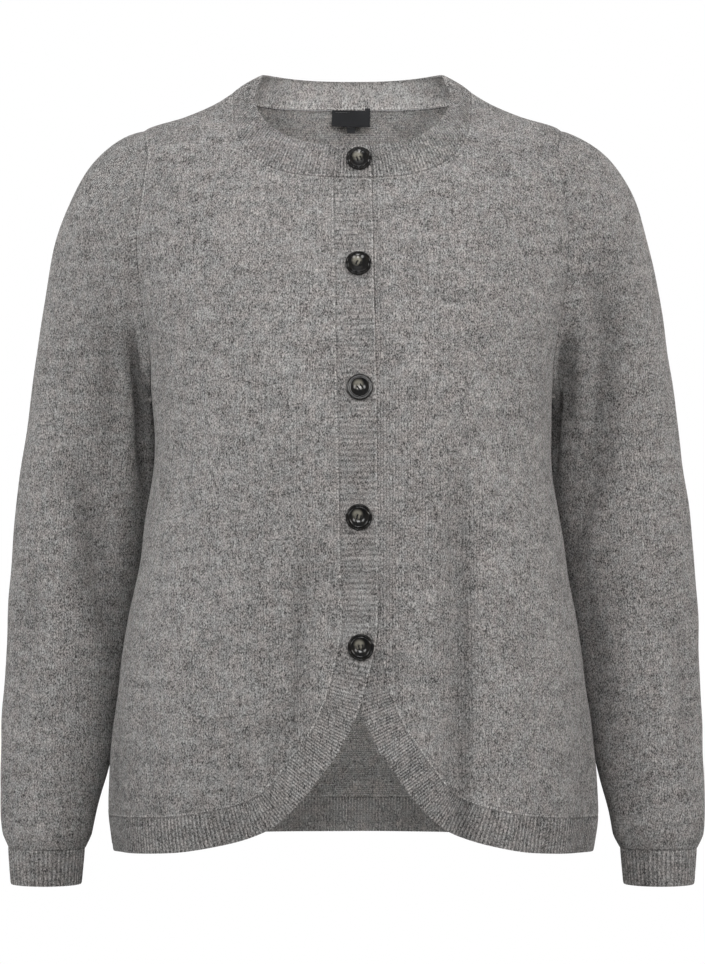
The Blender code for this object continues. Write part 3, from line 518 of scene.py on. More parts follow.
# ------------------------------------------------------------------ worn shape
class Face:
    """One face of the figure on an even grid of heights and shares of the half ring."""

    def __init__(self, name):
        low, high = FIGURE[-1].height - 0.008, FIGURE[0].height
        self.heights = np.arange(low, high + HEIGHT_STEP, HEIGHT_STEP)
        half_width, front, back, middle = FIGURE_TABLE.rows(self.heights).T
        depth = front + middle if name == "front" else back - middle
        turns = np.linspace(0, math.pi / 2, RING_TURNS)
        bulge = np.clip(np.cos(turns), 0, 1) ** (2 / SQUARENESS)
        across = half_width[:, None] * np.sin(turns) ** (2 / SQUARENESS)
        deep = depth[:, None] * bulge
        lengths = lengths_along(np.stack([across, deep], axis=-1), axis=1)
        self.shares = np.linspace(0, 1, SHARE_STEPS + 1)
        self.across = np.array([np.interp(self.shares * r[-1], r, a) for r, a in zip(lengths, across)])
        self.deep = np.array([np.interp(self.shares * r[-1], r, d) for r, d in zip(lengths, deep)])
        self.girths = lengths[:, -1]
        self.middles = middle
        self.toward = -1.0 if name == "front" else 1.0
        self.wales = self.wale_lengths()

    def wale_lengths(self):
        """Length along the cloth, from the bottom up, at even distances off the middle."""
        reaches = np.linspace(0, GIRTH_REACH, GIRTH_STEPS)
        heights = np.repeat(self.heights[:, None], GIRTH_STEPS, axis=1)
        shares = np.minimum(reaches / self.girths[:, None], 1.0)
        x, y = self.sample(self.across, shares, heights), self.sample(self.deep, shares, heights)
        return lengths_along(np.stack([x, y, heights], axis=-1), axis=0)

    def sample(self, table, shares, heights, full=1.0):
        """Read a table of heights by shares between its entries."""
        row = (heights - self.heights[0]) / HEIGHT_STEP
        row = np.clip(row, 0, len(self.heights) - 1.001)
        column = np.clip(shares / full, 0, 0.99999) * (table.shape[1] - 1)
        i, j = row.astype(int), column.astype(int)
        down, over = row - i, column - j
        low = mix(table[i, j], table[i, j + 1], over)
        high = mix(table[i + 1, j], table[i + 1, j + 1], over)
        return mix(low, high, down)

    def girth(self, heights):
        return np.interp(heights, self.heights, self.girths)

    def table_row(self, table, height):
        return self.sample(table, self.shares, np.full(len(self.shares), height))


FACES = {name: Face(name) for name in ("front", "back")}


def fold_shift(piece, across, heights):
    """How far the folds of a piece move its cloth outwards."""
    shift = np.zeros(np.broadcast(across, heights).shape)
    for fold in FOLDS:
        if fold.piece != piece:
            continue
        down = np.clip((fold.top - heights) / (fold.top - fold.bottom), 0, 1)
        bowed = fold.bow * 4 * down * (1 - down)
        away = (across - fold.across - fold.lean * down - bowed) / fold.spread
        fade = ease((fold.top - heights) / fold.fade) * ease((heights - fold.bottom) / fold.fade)
        shift = shift + fold.depth * fade * np.exp(-away * away)
    return shift


class Cloth:
    """A body piece: its face of the figure, and how far the lap lifts it."""

    def __init__(self, piece, face, lap):
        self.piece = piece
        self.face = FACES[face]
        self.side = face
        self.lap = lap

    def seam_share(self, heights):
        """The share of the half ring that stops half a gap short of the side seam."""
        return 1 - SEAM_GAP / 2 / self.face.girth(heights)

    def points(self, places):
        """Places are shares and heights; the last axis of the answer is x, y and z."""
        shares, heights = places[..., 0], places[..., 1]
        face = self.face
        part = np.abs(shares)
        x = face.sample(face.across, part, heights)
        y = face.sample(face.deep, part, heights)
        width = face.sample(face.across, np.ones_like(part), heights)
        depth = face.sample(face.deep, np.zeros_like(part), heights)
        away = np.where(shares < 0, -1.0, 1.0)
        slope = SQUARENESS - 1
        outward = np.stack([
            away * (x / width) ** slope / width,
            face.toward * (y / depth) ** slope / depth,
            np.zeros_like(x),
        ], axis=-1)
        along = part * face.girth(heights)
        lift = self.lap * LAP_LIFT * (1 - ease((along - LAP_FLAT) / LAP_FADE))
        lift = lift + self.crease(places)
        middle = np.interp(heights, face.heights, face.middles)
        flat = np.stack([away * x, face.toward * y + middle, heights], axis=-1)
        flat = flat + lift[..., None] * unit(outward)
        return flat + unevenness(flat)[..., None] * unit(outward)

    def crease(self, places):
        """How far the folds move the cloth at its places."""
        shares, heights = places[..., 0], places[..., 1]
        along = (np.abs(shares) if self.side == "front" else shares) * self.face.girth(heights)
        return fold_shift(self.piece, along, heights)

    def flat_places(self, places):
        """Where the same places lie in the flat knit: across the wales and along them."""
        shares, heights = places[..., 0], places[..., 1]
        along = np.abs(shares) * self.face.girth(heights)
        up = self.face.sample(self.face.wales, along, heights, GIRTH_REACH)
        return np.stack([np.where(shares < 0, -along, along), up], axis=-1)

    def share_at_width(self, x, height):
        row = self.face.table_row(self.face.across, height)
        return math.copysign(np.interp(abs(x), row, self.face.shares), x)

    def share_at_depth(self, depth, height):
        row = self.face.table_row(self.face.deep, height)
        return np.interp(-depth, -row, self.face.shares)


CLOTHS = {
    "front_right": Cloth("front_right", "front", 1),
    "front_left": Cloth("front_left", "front", -1),
    "back": Cloth("back", "back", 0),
}
FRONTS = {RIGHT: CLOTHS["front_right"], LEFT: CLOTHS["front_left"]}


# ------------------------------------------------------------------ outlines
def neckline(cloth, side, start):
    """Neck seam from a distance off the middle to the neck point."""
    power = 2 / NECK_ROUNDNESS
    drop = NECK_DROP[cloth.side]
    first = math.asin(min(start / NECK_HALF_WIDTH, 1) ** (1 / power))
    places = []
    for turn in np.linspace(first, math.pi / 2, LINE_STEPS):
        x = NECK_HALF_WIDTH * math.sin(turn) ** power
        height = NECK_POINT_HEIGHT - drop * max(math.cos(turn), 0.0) ** power
        share = min(cloth.share_at_width(x, height), cloth.seam_share(height))
        places.append((side * share, height))
    return np.array(places)


def neck_seam_height(x, face):
    part = (abs(x) / NECK_HALF_WIDTH) ** NECK_ROUNDNESS
    return NECK_POINT_HEIGHT - NECK_DROP[face] * (1 - part) ** (1 / NECK_ROUNDNESS)


def armhole(cloth, side):
    """Armhole seam from the underarm to the shoulder point."""
    middle = (SHOULDER_HEIGHT + UNDERARM_HEIGHT) / 2
    half = (SHOULDER_HEIGHT - UNDERARM_HEIGHT) / 2
    power = 2 / ARMHOLE_ROUNDNESS
    places = []
    for turn in np.linspace(0, math.pi, LINE_STEPS):
        depth = ARMHOLE_REACH[cloth.side] * max(math.sin(turn), 0.0) ** power
        cosine = math.cos(turn)
        height = middle - half * math.copysign(abs(cosine) ** power, cosine)
        share = min(cloth.share_at_depth(depth, height), cloth.seam_share(height))
        places.append((side * share, height))
    return np.array(places)


def even_places(cloth, places, count):
    return evenly(places, count, cloth.points(places))


class FrontEdge:
    """One front's free edge and the seam behind it, as distances and heights."""

    def __init__(self, side):
        self.side = side
        self.cloth = FRONTS[side]
        face = self.cloth.face
        marks = []
        for mark in FRONT_EDGE[:-1]:
            x = mark.out + side * mark.lap_middle
            around = self.cloth.share_at_width(x, mark.height) * face.girth(mark.height)
            marks.append((around, mark.height, mark.width))
        last = FRONT_EDGE[-1]
        marks.append((face.girth(last.height), last.height, last.width))
        marks = np.array(marks)
        steps = Table([(s, *mark) for s, mark in zip(lengths_along(marks[:, :2]), marks)])
        fine = steps.rows(np.linspace(0, steps.at[-1], EDGE_STEPS))
        along = unit(np.gradient(fine[:, :2], axis=0))
        inward = np.array([-along[:, 1], along[:, 0]]).T
        inward[:SQUARE_END_STEPS] = (1, 0)
        self.free = fine[:, :2]
        self.seam = fine[:, :2] + inward * fine[:, 2:3]
        self.lengths = lengths_along(self.seam)

    def places(self, line, lengths):
        """Shares and heights on one of the two lines, by the seam's own length."""
        out = np.interp(lengths, self.lengths, line[:, 0])
        height = np.interp(lengths, self.lengths, line[:, 1])
        limit = self.cloth.seam_share(height)
        share = np.minimum(out / self.cloth.face.girth(height), limit)
        return np.stack([self.side * share, height], axis=-1)

    def length_at_height(self, height):
        return np.interp(-height, -self.seam[:, 1], self.lengths)


EDGES = {side: FrontEdge(side) for side in (RIGHT, LEFT)}


# ------------------------------------------------------------------ cloth meshes
# points are in space and flat in the knit; both are grids with the same rows and
# columns. outward points away from the wearer, roughly; crease is how far the folds
# move the cloth outwards, and the finishes paint shade in its troughs and light on its
# ridges from it.
Block = namedtuple("Block", "points flat outward crease")


def tree_of(points):
    tree = KDTree(len(points))
    for i, point in enumerate(points):
        tree.insert(Vector(point), i)
    tree.balance()
    return tree


def seam_marks(places, lines):
    """Distance to the nearest seam, the length along it, and how far its stitches show."""
    tree = tree_of(np.vstack([line for line, _ in lines]))
    runs = [(run, shown) for line, shown in lines for run in lengths_along(line)]
    marks = []
    for place in places:
        _, i, distance = tree.find(Vector(place))
        marks.append((distance, *runs[i]))
    return np.array(marks)


def lap_marks(places, line):
    """Signed distance past the free edge of the layer that lies on top, for the painted shadow and
    highlight there.
    """
    if line is None:
        return np.full(len(places), FAR)
    tree = tree_of(line)
    found = [tree.find(Vector(place)) for place in places]
    return np.array([math.copysign(d, place[0] - p.x) for (p, _, d), place in zip(found, places)])


def block_corners(blocks):
    """The four corners of every face, turned so that the faces look outwards."""
    corners = []
    first = 0
    for block in blocks:
        rows, columns = block.points.shape[:2]
        at = np.arange(rows * columns).reshape(rows, columns) + first
        faces = np.stack([at[:-1, :-1], at[:-1, 1:], at[1:, 1:], at[1:, :-1]], axis=-1)
        over = block.points[1:, 1:] - block.points[:-1, :-1]
        down = block.points[1:, :-1] - block.points[:-1, 1:]
        facing = np.sum(np.cross(over, down) * block.outward[:-1, :-1])
        faces = faces.reshape(-1, 4)
        corners.append(faces if facing > 0 else faces[:, ::-1])
        first += rows * columns
    return np.vstack(corners)


def woven_mesh(name, blocks, seams, finishes, shell=SHELL, dip=SEAM_DIP, lap=None):
    """A cloth shell: weld the blocks, sink the cloth at its seams and give it thickness."""
    points = np.vstack([block.points.reshape(-1, 3) for block in blocks])
    flat = np.vstack([block.flat.reshape(-1, 2) for block in blocks])
    corners = block_corners(blocks)
    _, kept, welded = np.unique(np.round(points, WELD), axis=0, return_index=True, return_inverse=True)
    welded = welded.reshape(-1)
    mesh = bpy.data.meshes.new(name)
    mesh.from_pydata(points[kept].tolist(), [], welded[corners].tolist())
    layer = mesh.uv_layers.new(name="knit")
    layer.uv.foreach_set("vector", flat[corners.reshape(-1)].astype(np.float32).reshape(-1))
    marks = seam_marks(points[kept], seams)
    sunk = dip * np.exp(-(marks[:, 0] / SEAM_REACH * 2) ** 2)
    normals = np.empty(len(kept) * 3, np.float32)
    mesh.vertices.foreach_get("normal", normals)
    moved = points[kept] - normals.reshape(-1, 3) * sunk[:, None]
    mesh.vertices.foreach_set("co", moved.astype(np.float32).reshape(-1))
    laps = lap_marks(points[kept], lap)
    # Fold shift kept for painted shade in troughs and painted light on ridges; the painted shade is
    # capped.
    creases = np.concatenate([block.crease.reshape(-1) for block in blocks])[kept]
    creases = np.maximum(creases, -CREASE_LIMIT)
    for title, values in zip(("seam", "run", "shown", "lap", "crease"), (*marks.T, laps, creases)):
        mesh.attributes.new(title, "FLOAT", "POINT").data.foreach_set("value", values)
    mesh.update()
    thing = bpy.data.objects.new(name, mesh)
    bpy.context.scene.collection.objects.link(thing)
    for finish in finishes:
        mesh.materials.append(finish)
    thicken(thing, shell, len(finishes) > 1)
    return thing


def select_only(thing):
    bpy.ops.object.select_all(action="DESELECT")
    thing.select_set(True)
    bpy.context.view_layer.objects.active = thing


def apply_modifiers(thing):
    select_only(thing)
    for modifier in list(thing.modifiers):
        bpy.ops.object.modifier_apply(modifier=modifier.name)


def thicken(thing, shell, lined):
    solid = thing.modifiers.new("thickness", "SOLIDIFY")
    solid.thickness = shell
    solid.offset = -1
    solid.use_even_offset = False
    solid.material_offset = 1 if lined else 0
    apply_modifiers(thing)
    thing.data.shade_smooth()
    thing.data.set_sharp_from_angle(angle=math.radians(CLOTH_SMOOTH_ANGLE))


# ------------------------------------------------------------------ panels
def yoke_places(cloth, side, inner, columns):
    """Rows from the front edge or middle and the neckline to the armhole."""
    outer = even_places(cloth, armhole(cloth, side), len(inner) - 1)
    shares = np.linspace(0, 1, columns + 1)[:, None]
    rows = mix(inner[:, None], outer[:, None], shares)
    rows[-1, :, 0] = side * cloth.seam_share(rows[-1, :, 1])
    return rows


def filled(top, bottom, left, right):
    """A grid that meets four lines at its corners, from the bottom up."""
    down = np.linspace(0, 1, len(left))[:, None, None]
    over = np.linspace(0, 1, len(top))[None, :, None]
    corners = mix(mix(top[0], top[-1], over), mix(bottom[0], bottom[-1], over), down)
    rows = mix(top[None], bottom[None], down) + mix(left[:, None], right[:, None], over) - corners
    return rows[::-1]


def away_from_wearer(points):
    return points * (1, 1, 0)


def panel_block(cloth, places):
    points = cloth.points(places)
    return Block(points, cloth.flat_places(places), away_from_wearer(points), cloth.crease(places))


def front_panel(side):
    cloth = FRONTS[side]
    edge = EDGES[side]
    top = edge.length_at_height(UNDERARM_HEIGHT)
    split = edge.length_at_height(CURVE_START)
    upper = edge.places(edge.seam, np.linspace(top, 0, YOKE_EDGE_ROWS + 1))
    middle = edge.places(edge.seam, np.linspace(top, split, FRONT_BODY_ROWS + 1))
    hem = edge.places(edge.seam, np.linspace(split, edge.lengths[-1], FRONT_COLUMNS + 1))
    start = abs(cloth.points(upper[-1])[0])
    neck = even_places(cloth, neckline(cloth, side, start), NECK_ROWS)
    yoke = yoke_places(cloth, side, np.vstack([upper, neck[1:]]), FRONT_COLUMNS)
    heights = np.linspace(UNDERARM_HEIGHT, hem[-1][1], FRONT_BODY_ROWS + 1)
    side_seam = np.stack([side * cloth.seam_share(heights), heights], axis=-1)
    lower = filled(yoke[0], hem, middle, side_seam)
    block = panel_block(cloth, np.concatenate([lower, yoke[1:]]))
    points = block.points
    seams = [
        (points[:, 0], EDGE_STITCHES),
        (points[0], EDGE_STITCHES),
        (points[:FRONT_BODY_ROWS + 1, -1], 0.0),
        (points[FRONT_BODY_ROWS:, -1], ARMHOLE_STITCHES[side]),
        (points[-1], 0.0),
    ]
    lap = lap_line() if side == LEFT else None
    return woven_mesh(cloth.piece + "_knit", [block], seams, [JERSEY, PURL], lap=lap)


def lap_line():
    """The free edge of the right front, which lies on the left one, down to the cutaway."""
    edge = EDGES[RIGHT]
    lengths = np.linspace(0, edge.length_at_height(LAP_END), LINE_STEPS)
    return edge.cloth.points(edge.places(edge.free, lengths))


def back_panel():
    cloth = CLOTHS["back"]
    blocks, seams = [], []
    for side in (RIGHT, LEFT):
        neck = even_places(cloth, neckline(cloth, side, 0.0), NECK_ROWS)
        heights = np.linspace(UNDERARM_HEIGHT, neck[0][1], BACK_YOKE_ROWS + 1)
        middle = np.stack([np.zeros_like(heights), heights], axis=-1)
        yoke = yoke_places(cloth, side, np.vstack([middle, neck[1:]]), BACK_COLUMNS)
        heights = np.linspace(HEM_SEAM_BACK, UNDERARM_HEIGHT, BACK_BODY_ROWS + 1)[:, None]
        shares = side * np.linspace(0, 1, BACK_COLUMNS + 1) * cloth.seam_share(heights)
        lower = np.stack([shares, np.broadcast_to(heights, shares.shape)], axis=-1)
        block = panel_block(cloth, np.concatenate([lower[:-1], yoke]))
        points = block.points
        blocks.append(block)
        seams += [
            (points[0], EDGE_STITCHES),
            (points[BACK_BODY_ROWS + BACK_YOKE_ROWS:, 0], 0.0),
            (points[:BACK_BODY_ROWS + 1, -1], 0.0),
            (points[BACK_BODY_ROWS:, -1], ARMHOLE_STITCHES[side]),
            (points[-1], 0.0),
        ]
    return woven_mesh("back_knit", blocks, seams, [JERSEY, PURL])


# ------------------------------------------------------------------ sleeves
def arm_points(name, side, row, turns):
    """A sleeve's section; a turn runs from the outer side to the front."""
    height, out, back, half_width, half_depth = row
    shift = fold_shift(name, np.degrees(turns) % 360, height)
    x = out + (half_width + shift) * np.cos(turns)
    y = back - (half_depth + shift) * np.sin(turns)
    return np.stack([side * x, y, np.full_like(x, height)], axis=-1)


def arm_row(height):
    return (height, *ARM_TABLE.rows(height))


def head_folds(name, shares, turns):
    shift = np.zeros((len(shares), len(turns)))
    down = shares[:, None]
    for fold in HEAD_FOLDS:
        if fold.piece != name:
            continue
        away = (np.degrees(turns) % 360 - fold.turn - fold.lean * down) / fold.spread
        fade = ease((down - fold.start) / fold.fade) * ease((fold.end - down) / fold.fade)
        shift += fold.depth * fade * np.exp(-away * away)
    return shift


def armhole_loop(side):
    """Once round the armhole: from the underarm up the back and down the front."""
    front_cloth, back_cloth = FRONTS[side], CLOTHS["back"]
    places = even_places(front_cloth, armhole(front_cloth, side), SLEEVE_HALF_COLUMNS)
    front = front_cloth.points(places)[::-1]
    places = even_places(back_cloth, armhole(back_cloth, side), SLEEVE_HALF_COLUMNS)
    back = back_cloth.points(places)
    top = (front[0] + back[-1]) / 2
    under = (front[-1] + back[0]) / 2
    return np.vstack([under, back[1:-1], top, front[1:-1], under])


def sleeve_head(name, side, loop, turns):
    """Curves from the armhole, over the shoulder's end, into the upper arm."""
    start = unit(np.array(SLEEVE_START) * (side, 1, 1))
    foot = arm_points(name, side, arm_row(ARM[0].height), turns)
    below = arm_points(name, side, arm_row(ARM[0].height - ELBOW_STEP), turns)
    down = unit(below - foot)
    high = (1 + np.cos(turns))[:, None] / 2
    first = loop + start * SEAM_GAP
    second = first + start * mix(CAP_PULL.low, CAP_PULL.high, high)
    third = foot - down * mix(ARM_PULL.low, ARM_PULL.high, high)
    t = (np.linspace(0, 1, HEAD_ROWS + 1) ** CAP_EASE)[:, None, None]
    s = 1 - t
    return first * s ** 3 + second * 3 * s * s * t + third * 3 * s * t * t + foot * t ** 3


def closed_normals(points, outward):
    normals = grid_normals(points, outward)
    joined = unit(normals[:, 0] + normals[:, -1])
    normals[:, 0] = joined
    normals[:, -1] = joined
    return normals


def sleeve(side):
    name = "sleeve_" + SIDE_NAMES[side]
    turns = np.linspace(math.pi, 3 * math.pi, 2 * SLEEVE_HALF_COLUMNS + 1)
    head = sleeve_head(name, side, armhole_loop(side), turns)
    heights = np.linspace(ARM[0].height, ARM[-1].height, ARM_ROWS + 1)[1:]
    arm = np.array([arm_points(name, side, arm_row(height), turns) for height in heights])
    points = np.concatenate([head, arm])
    middle = points.mean(axis=1, keepdims=True)
    outward = points - middle
    normals = closed_normals(points, outward)
    rows = np.arange(len(points)) / HEAD_ROWS
    lift = unevenness(points) * ease(rows / SLEEVE_EASE)[:, None]
    lift[:HEAD_ROWS + 1] += head_folds(name, rows[:HEAD_ROWS + 1], turns)
    points = points + lift[..., None] * normals
    around = lengths_along(points, axis=1)
    up = lengths_along(points, axis=0)
    flat = np.stack([around - around[:, [SLEEVE_HALF_COLUMNS]], up[-1] - up], axis=-1)
    seams = [
        (points[0], 0.0),
        (points[-1], 0.0),
        (points[:, 0], 0.0),
    ]
    degrees = np.degrees(turns) % 360
    down = (rows[:HEAD_ROWS + 1] ** CAP_EASE)[:, None]
    joining = fold_shift(name, degrees, ARM[0].height) * down ** 2 * (3 - 2 * down)
    creases = [joining + head_folds(name, rows[:HEAD_ROWS + 1], turns),
               fold_shift(name, degrees[None], heights[:, None])]
    block = Block(points, flat, outward, np.concatenate(creases))
    return woven_mesh(name + "_knit", [block], seams, [JERSEY, PURL])


# ------------------------------------------------------------------ ribs
def ribbed(name, base, ribs, outward, closed=False, crown=0.0, lap=None, crease=None):
    """Ribs across a strip; the first row lies at its seam and the last is its free edge."""
    kind = name.replace("_left", "").replace("_right", "").replace("_rib", "")
    normals = (closed_normals if closed else grid_normals)(base, outward)
    across = np.array(STRIP_ROWS)[:, None]
    phase = np.linspace(0, ribs, base.shape[1])
    ridge = (0.5 - 0.5 * np.cos(2 * math.pi * phase)) ** RIB_SHARPNESS
    fullness = 1 - SEAM_PINCH * np.exp(-across / SEAM_PINCH_REACH)
    pitch = lengths_along(base[len(base) // 2])[-1] / ribs
    height = BAND_RIB_HEIGHT if kind == "band" else RIB_HEIGHT
    lift = height * ridge * fullness + crown * 4 * across * (1 - across)
    lift = lift - np.array(FREE_EDGE_DIP)[:, None]
    points = base + lift[..., None] * normals
    widths = lengths_along(base, axis=0)
    flat = np.stack([np.broadcast_to(phase * pitch, widths.shape), widths], axis=-1)
    flat[..., 0] *= RIB_PITCH / pitch
    block = Block(points, flat, outward, np.zeros(widths.shape) if crease is None else crease)
    seams = [(points[0], STITCHES[kind])]
    outside = RIB if kind in ("neckband", "cuff") else BAND_RIB
    inside = NECK_INSIDE if kind == "neckband" else RIB_INSIDE
    return woven_mesh(name, [block], seams, [outside, inside], RIB_SHELL, 0.0, lap)


def rib_count(line, pitch):
    return round(lengths_along(line)[-1] / pitch)


def gap_at_seam(base):
    base[0] += unit(base[1] - base[0]) * SEAM_GAP
    return base


def cloth_strip(name, cloth, seam, free, ribs, lap=None):
    places = mix(seam[None], free[None], np.array(STRIP_ROWS)[:, None, None])
    base = gap_at_seam(cloth.points(places))
    return ribbed(name, base, ribs, away_from_wearer(base), lap=lap, crease=cloth.crease(places))


def front_band(side):
    """Ribbed band from the neck seam, down the front, round the cutaway to the side."""
    edge = EDGES[side]
    line = edge.cloth.points(edge.places((edge.seam + edge.free) / 2, edge.lengths))
    heights, pitches = np.array(BAND_PITCHES).T
    steps = np.diff(lengths_along(line)) / np.interp(line[1:, 2], heights, pitches)
    phase = np.concatenate([[0.0], np.cumsum(steps)])
    ribs = round(phase[-1])
    lengths = np.interp(np.linspace(0, phase[-1], ribs * RIB_SAMPLES + 1), phase, edge.lengths)
    seam, free = edge.places(edge.seam, lengths), edge.places(edge.free, lengths)
    return cloth_strip("band_%s_rib" % SIDE_NAMES[side], edge.cloth, seam, free, ribs, lap_line())


def back_hem():
    cloth = CLOTHS["back"]
    ribs = rib_count(back_line(cloth, HEM_SEAM_BACK, LINE_STEPS)[1], RIB_PITCHES["hem_back"])
    columns = ribs * RIB_SAMPLES
    seam, _ = back_line(cloth, HEM_SEAM_BACK, columns)
    free, _ = back_line(cloth, HEM_BACK, columns)
    return cloth_strip("hem_back_rib", cloth, seam, free, ribs)


def back_line(cloth, height, columns):
    """Places from the right side seam to the left one at a height, and their points."""
    limit = cloth.seam_share(height)
    shares = np.linspace(-limit, limit, columns + 1)
    places = np.stack([shares, np.full_like(shares, height)], axis=-1)
    return places, cloth.points(places)


def band_top(x, face, lift=0.0):
    """Places on the neckband's free upper edge, by their distance from the middle."""
    part = np.minimum(np.abs(x) / BAND_TOP_HALF_WIDTH, 1.0)
    bow = (1 - part ** BAND_TOP_ROUNDNESS) ** (1 / BAND_TOP_ROUNDNESS)
    toward = -1.0 if face == "front" else 1.0
    depth = (BAND_TOP_DEPTH[face] + lift) * bow
    height = BAND_TOP_HEIGHT - BAND_TOP_DROP[face] * bow + BAND_TOP_ARCH[face] * 4 * bow * (1 - bow)
    upper = (height - BAND_TOP_LEAN_START) / (BAND_TOP_HEIGHT - BAND_TOP_LEAN_START)
    return np.stack([x * (1 - BAND_TOP_LEAN * ease(upper)), toward * depth, height], axis=-1)


def band_top_widths(face, start, count):
    """Even steps along the free edge, from a distance off the middle to the side."""
    power = 2 / BAND_TOP_ROUNDNESS
    widths = BAND_TOP_HALF_WIDTH * np.sin(np.linspace(0, math.pi / 2, LINE_STEPS)) ** power
    lengths = lengths_along(band_top(widths, face))
    first = np.interp(start, widths, lengths)
    return np.interp(np.linspace(first, lengths[-1], count), lengths, widths)


def neckband_half(side):
    """Seam and free-edge points of half the neckband, from the lap to the back's middle."""
    cloth, back = FRONTS[side], CLOTHS["back"]
    narrowing = BAND_TOP_HALF_WIDTH / NECK_HALF_WIDTH
    edge = EDGES[side]
    start = abs(cloth.points(edge.places(edge.seam, 0.0))[0])
    lap = side * np.linspace(-NECKBAND_LAP[side], start, NECKBAND_LAP_STEPS + 1)[:-1]
    heights = neck_seam_height(lap, "front")
    shares = [cloth.share_at_width(x, height) for x, height in zip(lap, heights)]
    front = even_places(cloth, neckline(cloth, side, start), NECKBAND_STEPS)
    behind = even_places(back, neckline(back, side, 0.0), NECKBAND_STEPS)
    seams = np.vstack([
        cloth.points(np.stack([shares, heights], axis=-1)),
        cloth.points(front),
        back.points(behind)[-2::-1],
    ])
    front_widths = side * band_top_widths("front", start * narrowing, NECKBAND_STEPS + 1)
    widths = np.concatenate([lap * narrowing, front_widths])
    lift = cloth.lap * LAP_LIFT * (1 - ease((np.abs(widths) - LAP_FLAT) / LAP_FADE))
    back_widths = side * band_top_widths("back", 0.0, NECKBAND_STEPS + 1)[-2::-1]
    frees = np.vstack([band_top(widths, "front", lift), band_top(back_widths, "back")])
    return seams, frees


def softened(line):
    """A fine line with its corners rounded."""
    padded = np.pad(line, ((CORNER_REACH, CORNER_REACH), (0, 0)), "edge")
    weights = np.hanning(2 * CORNER_REACH + 3)[1:-1]
    weights /= weights.sum()
    return np.stack([np.convolve(column, weights, "valid") for column in padded.T], axis=-1)


def neckband():
    """One ribbed strip round the neck, from its under end to its upper end."""
    seams, frees = neckband_half(LEFT)
    right_seams, right_frees = neckband_half(RIGHT)
    seams = np.vstack([seams, right_seams[-2::-1]])
    frees = np.vstack([frees, right_frees[-2::-1]])
    middle = (seams + frees) / 2
    ribs = rib_count(middle, RIB_PITCHES["neckband"])
    lengths = lengths_along(middle)
    wanted = np.linspace(0, lengths[-1], ribs * RIB_SAMPLES + 1)
    seam, free = along_line(seams, lengths, wanted), softened(along_line(frees, lengths, wanted))
    base = gap_at_seam(mix(seam, free, np.array(STRIP_ROWS)[:, None, None]))
    lap = mix(seams[-1], frees[-1], np.linspace(0, 1, LINE_STEPS)[:, None])
    return ribbed("neckband_rib", base, ribs, away_from_wearer(base), crown=NECKBAND_CROWN, lap=lap)


def cuff(side):
    name = "cuff_" + SIDE_NAMES[side]
    fine = np.linspace(math.pi, 3 * math.pi, LINE_STEPS)
    ribs = rib_count(arm_points(name, side, CUFF_TOP, fine), RIB_PITCHES["cuff"])
    turns = np.linspace(math.pi, 3 * math.pi, ribs * RIB_SAMPLES + 1)
    top = arm_points(name, side, CUFF_TOP, turns)
    end = arm_points(name, side, CUFF_END, turns)
    base = mix(top, end, np.array(STRIP_ROWS)[:, None, None])
    outward = base - base.mean(axis=1, keepdims=True)
    return ribbed(name + "_rib", base, ribs, outward, closed=True)


# ------------------------------------------------------------------ trims
def start_edit(kind="VERT"):
    bpy.ops.object.mode_set(mode="EDIT")
    bpy.ops.mesh.select_mode(type=kind)


def end_edit():
    bpy.ops.object.mode_set(mode="OBJECT")


def keep_place(thing):
    """Move an object's place into its mesh, so that it sits at the origin."""
    select_only(thing)
    bpy.ops.object.transform_apply(location=True, rotation=True, scale=True)


def turned_button():
    """A button turned round +Z: rounded back, rim, groove and dish."""
    bpy.ops.object.select_all(action="DESELECT")
    first = BUTTON_PROFILE[0]
    bpy.ops.mesh.primitive_circle_add(
        vertices=BUTTON_SIDES, radius=first.radius, fill_type="NGON", location=(0, 0, first.height))
    thing = bpy.context.object
    start_edit("FACE")
    bpy.ops.mesh.select_all(action="SELECT")
    for before, point in zip(BUTTON_PROFILE, BUTTON_PROFILE[1:]):
        rise = point.height - before.height
        growth = point.radius / before.radius
        bpy.ops.mesh.extrude_region_move(TRANSFORM_OT_translate={"value": (0, 0, rise)})
        bpy.ops.transform.resize(
            value=(growth, growth, 1), center_override=(0, 0, point.height))
    bpy.ops.mesh.select_all(action="SELECT")
    bpy.ops.mesh.normals_make_consistent(inside=False)
    end_edit()
    return thing


def button_holes():
    """Four round cutters in a square, joined."""
    cutters = []
    bpy.ops.object.select_all(action="DESELECT")
    for x in (-HOLE_OFFSET, HOLE_OFFSET):
        for y in (-HOLE_OFFSET, HOLE_OFFSET):
            bpy.ops.mesh.primitive_cylinder_add(
                vertices=HOLE_SIDES, radius=HOLE_RADIUS, depth=HOLE_DEPTH, location=(x, y, 0))
            cutters.append(bpy.context.object)
    bpy.ops.object.select_all(action="DESELECT")
    for cutter in cutters:
        cutter.select_set(True)
    bpy.context.view_layer.objects.active = cutters[0]
    bpy.ops.object.join()
    return cutters[0]


def button_threads():
    """Two bars of sewing thread, each through a pair of holes."""
    bars = []
    bpy.ops.object.select_all(action="DESELECT")
    for x in (-HOLE_OFFSET, HOLE_OFFSET):
        for strand in (-THREAD_RADIUS, THREAD_RADIUS):
            bpy.ops.mesh.primitive_torus_add(
                major_radius=HOLE_OFFSET, minor_radius=THREAD_RADIUS,
                major_segments=THREAD_STEPS, minor_segments=THREAD_SIDES,
                location=(x + strand, 0, THREAD_HEIGHT), rotation=(0, math.pi / 2, 0))
            bars.append(bpy.context.object)
    bpy.ops.object.select_all(action="DESELECT")
    for bar in bars:
        bar.select_set(True)
    bpy.context.view_layer.objects.active = bars[0]
    bpy.ops.object.join()
    keep_place(bars[0])
    start_edit()
    bpy.ops.mesh.select_all(action="SELECT")
    bpy.ops.transform.resize(value=(1, 1, THREAD_FLATNESS), center_override=(0, 0, THREAD_HEIGHT))
    end_edit()
    return bars[0]


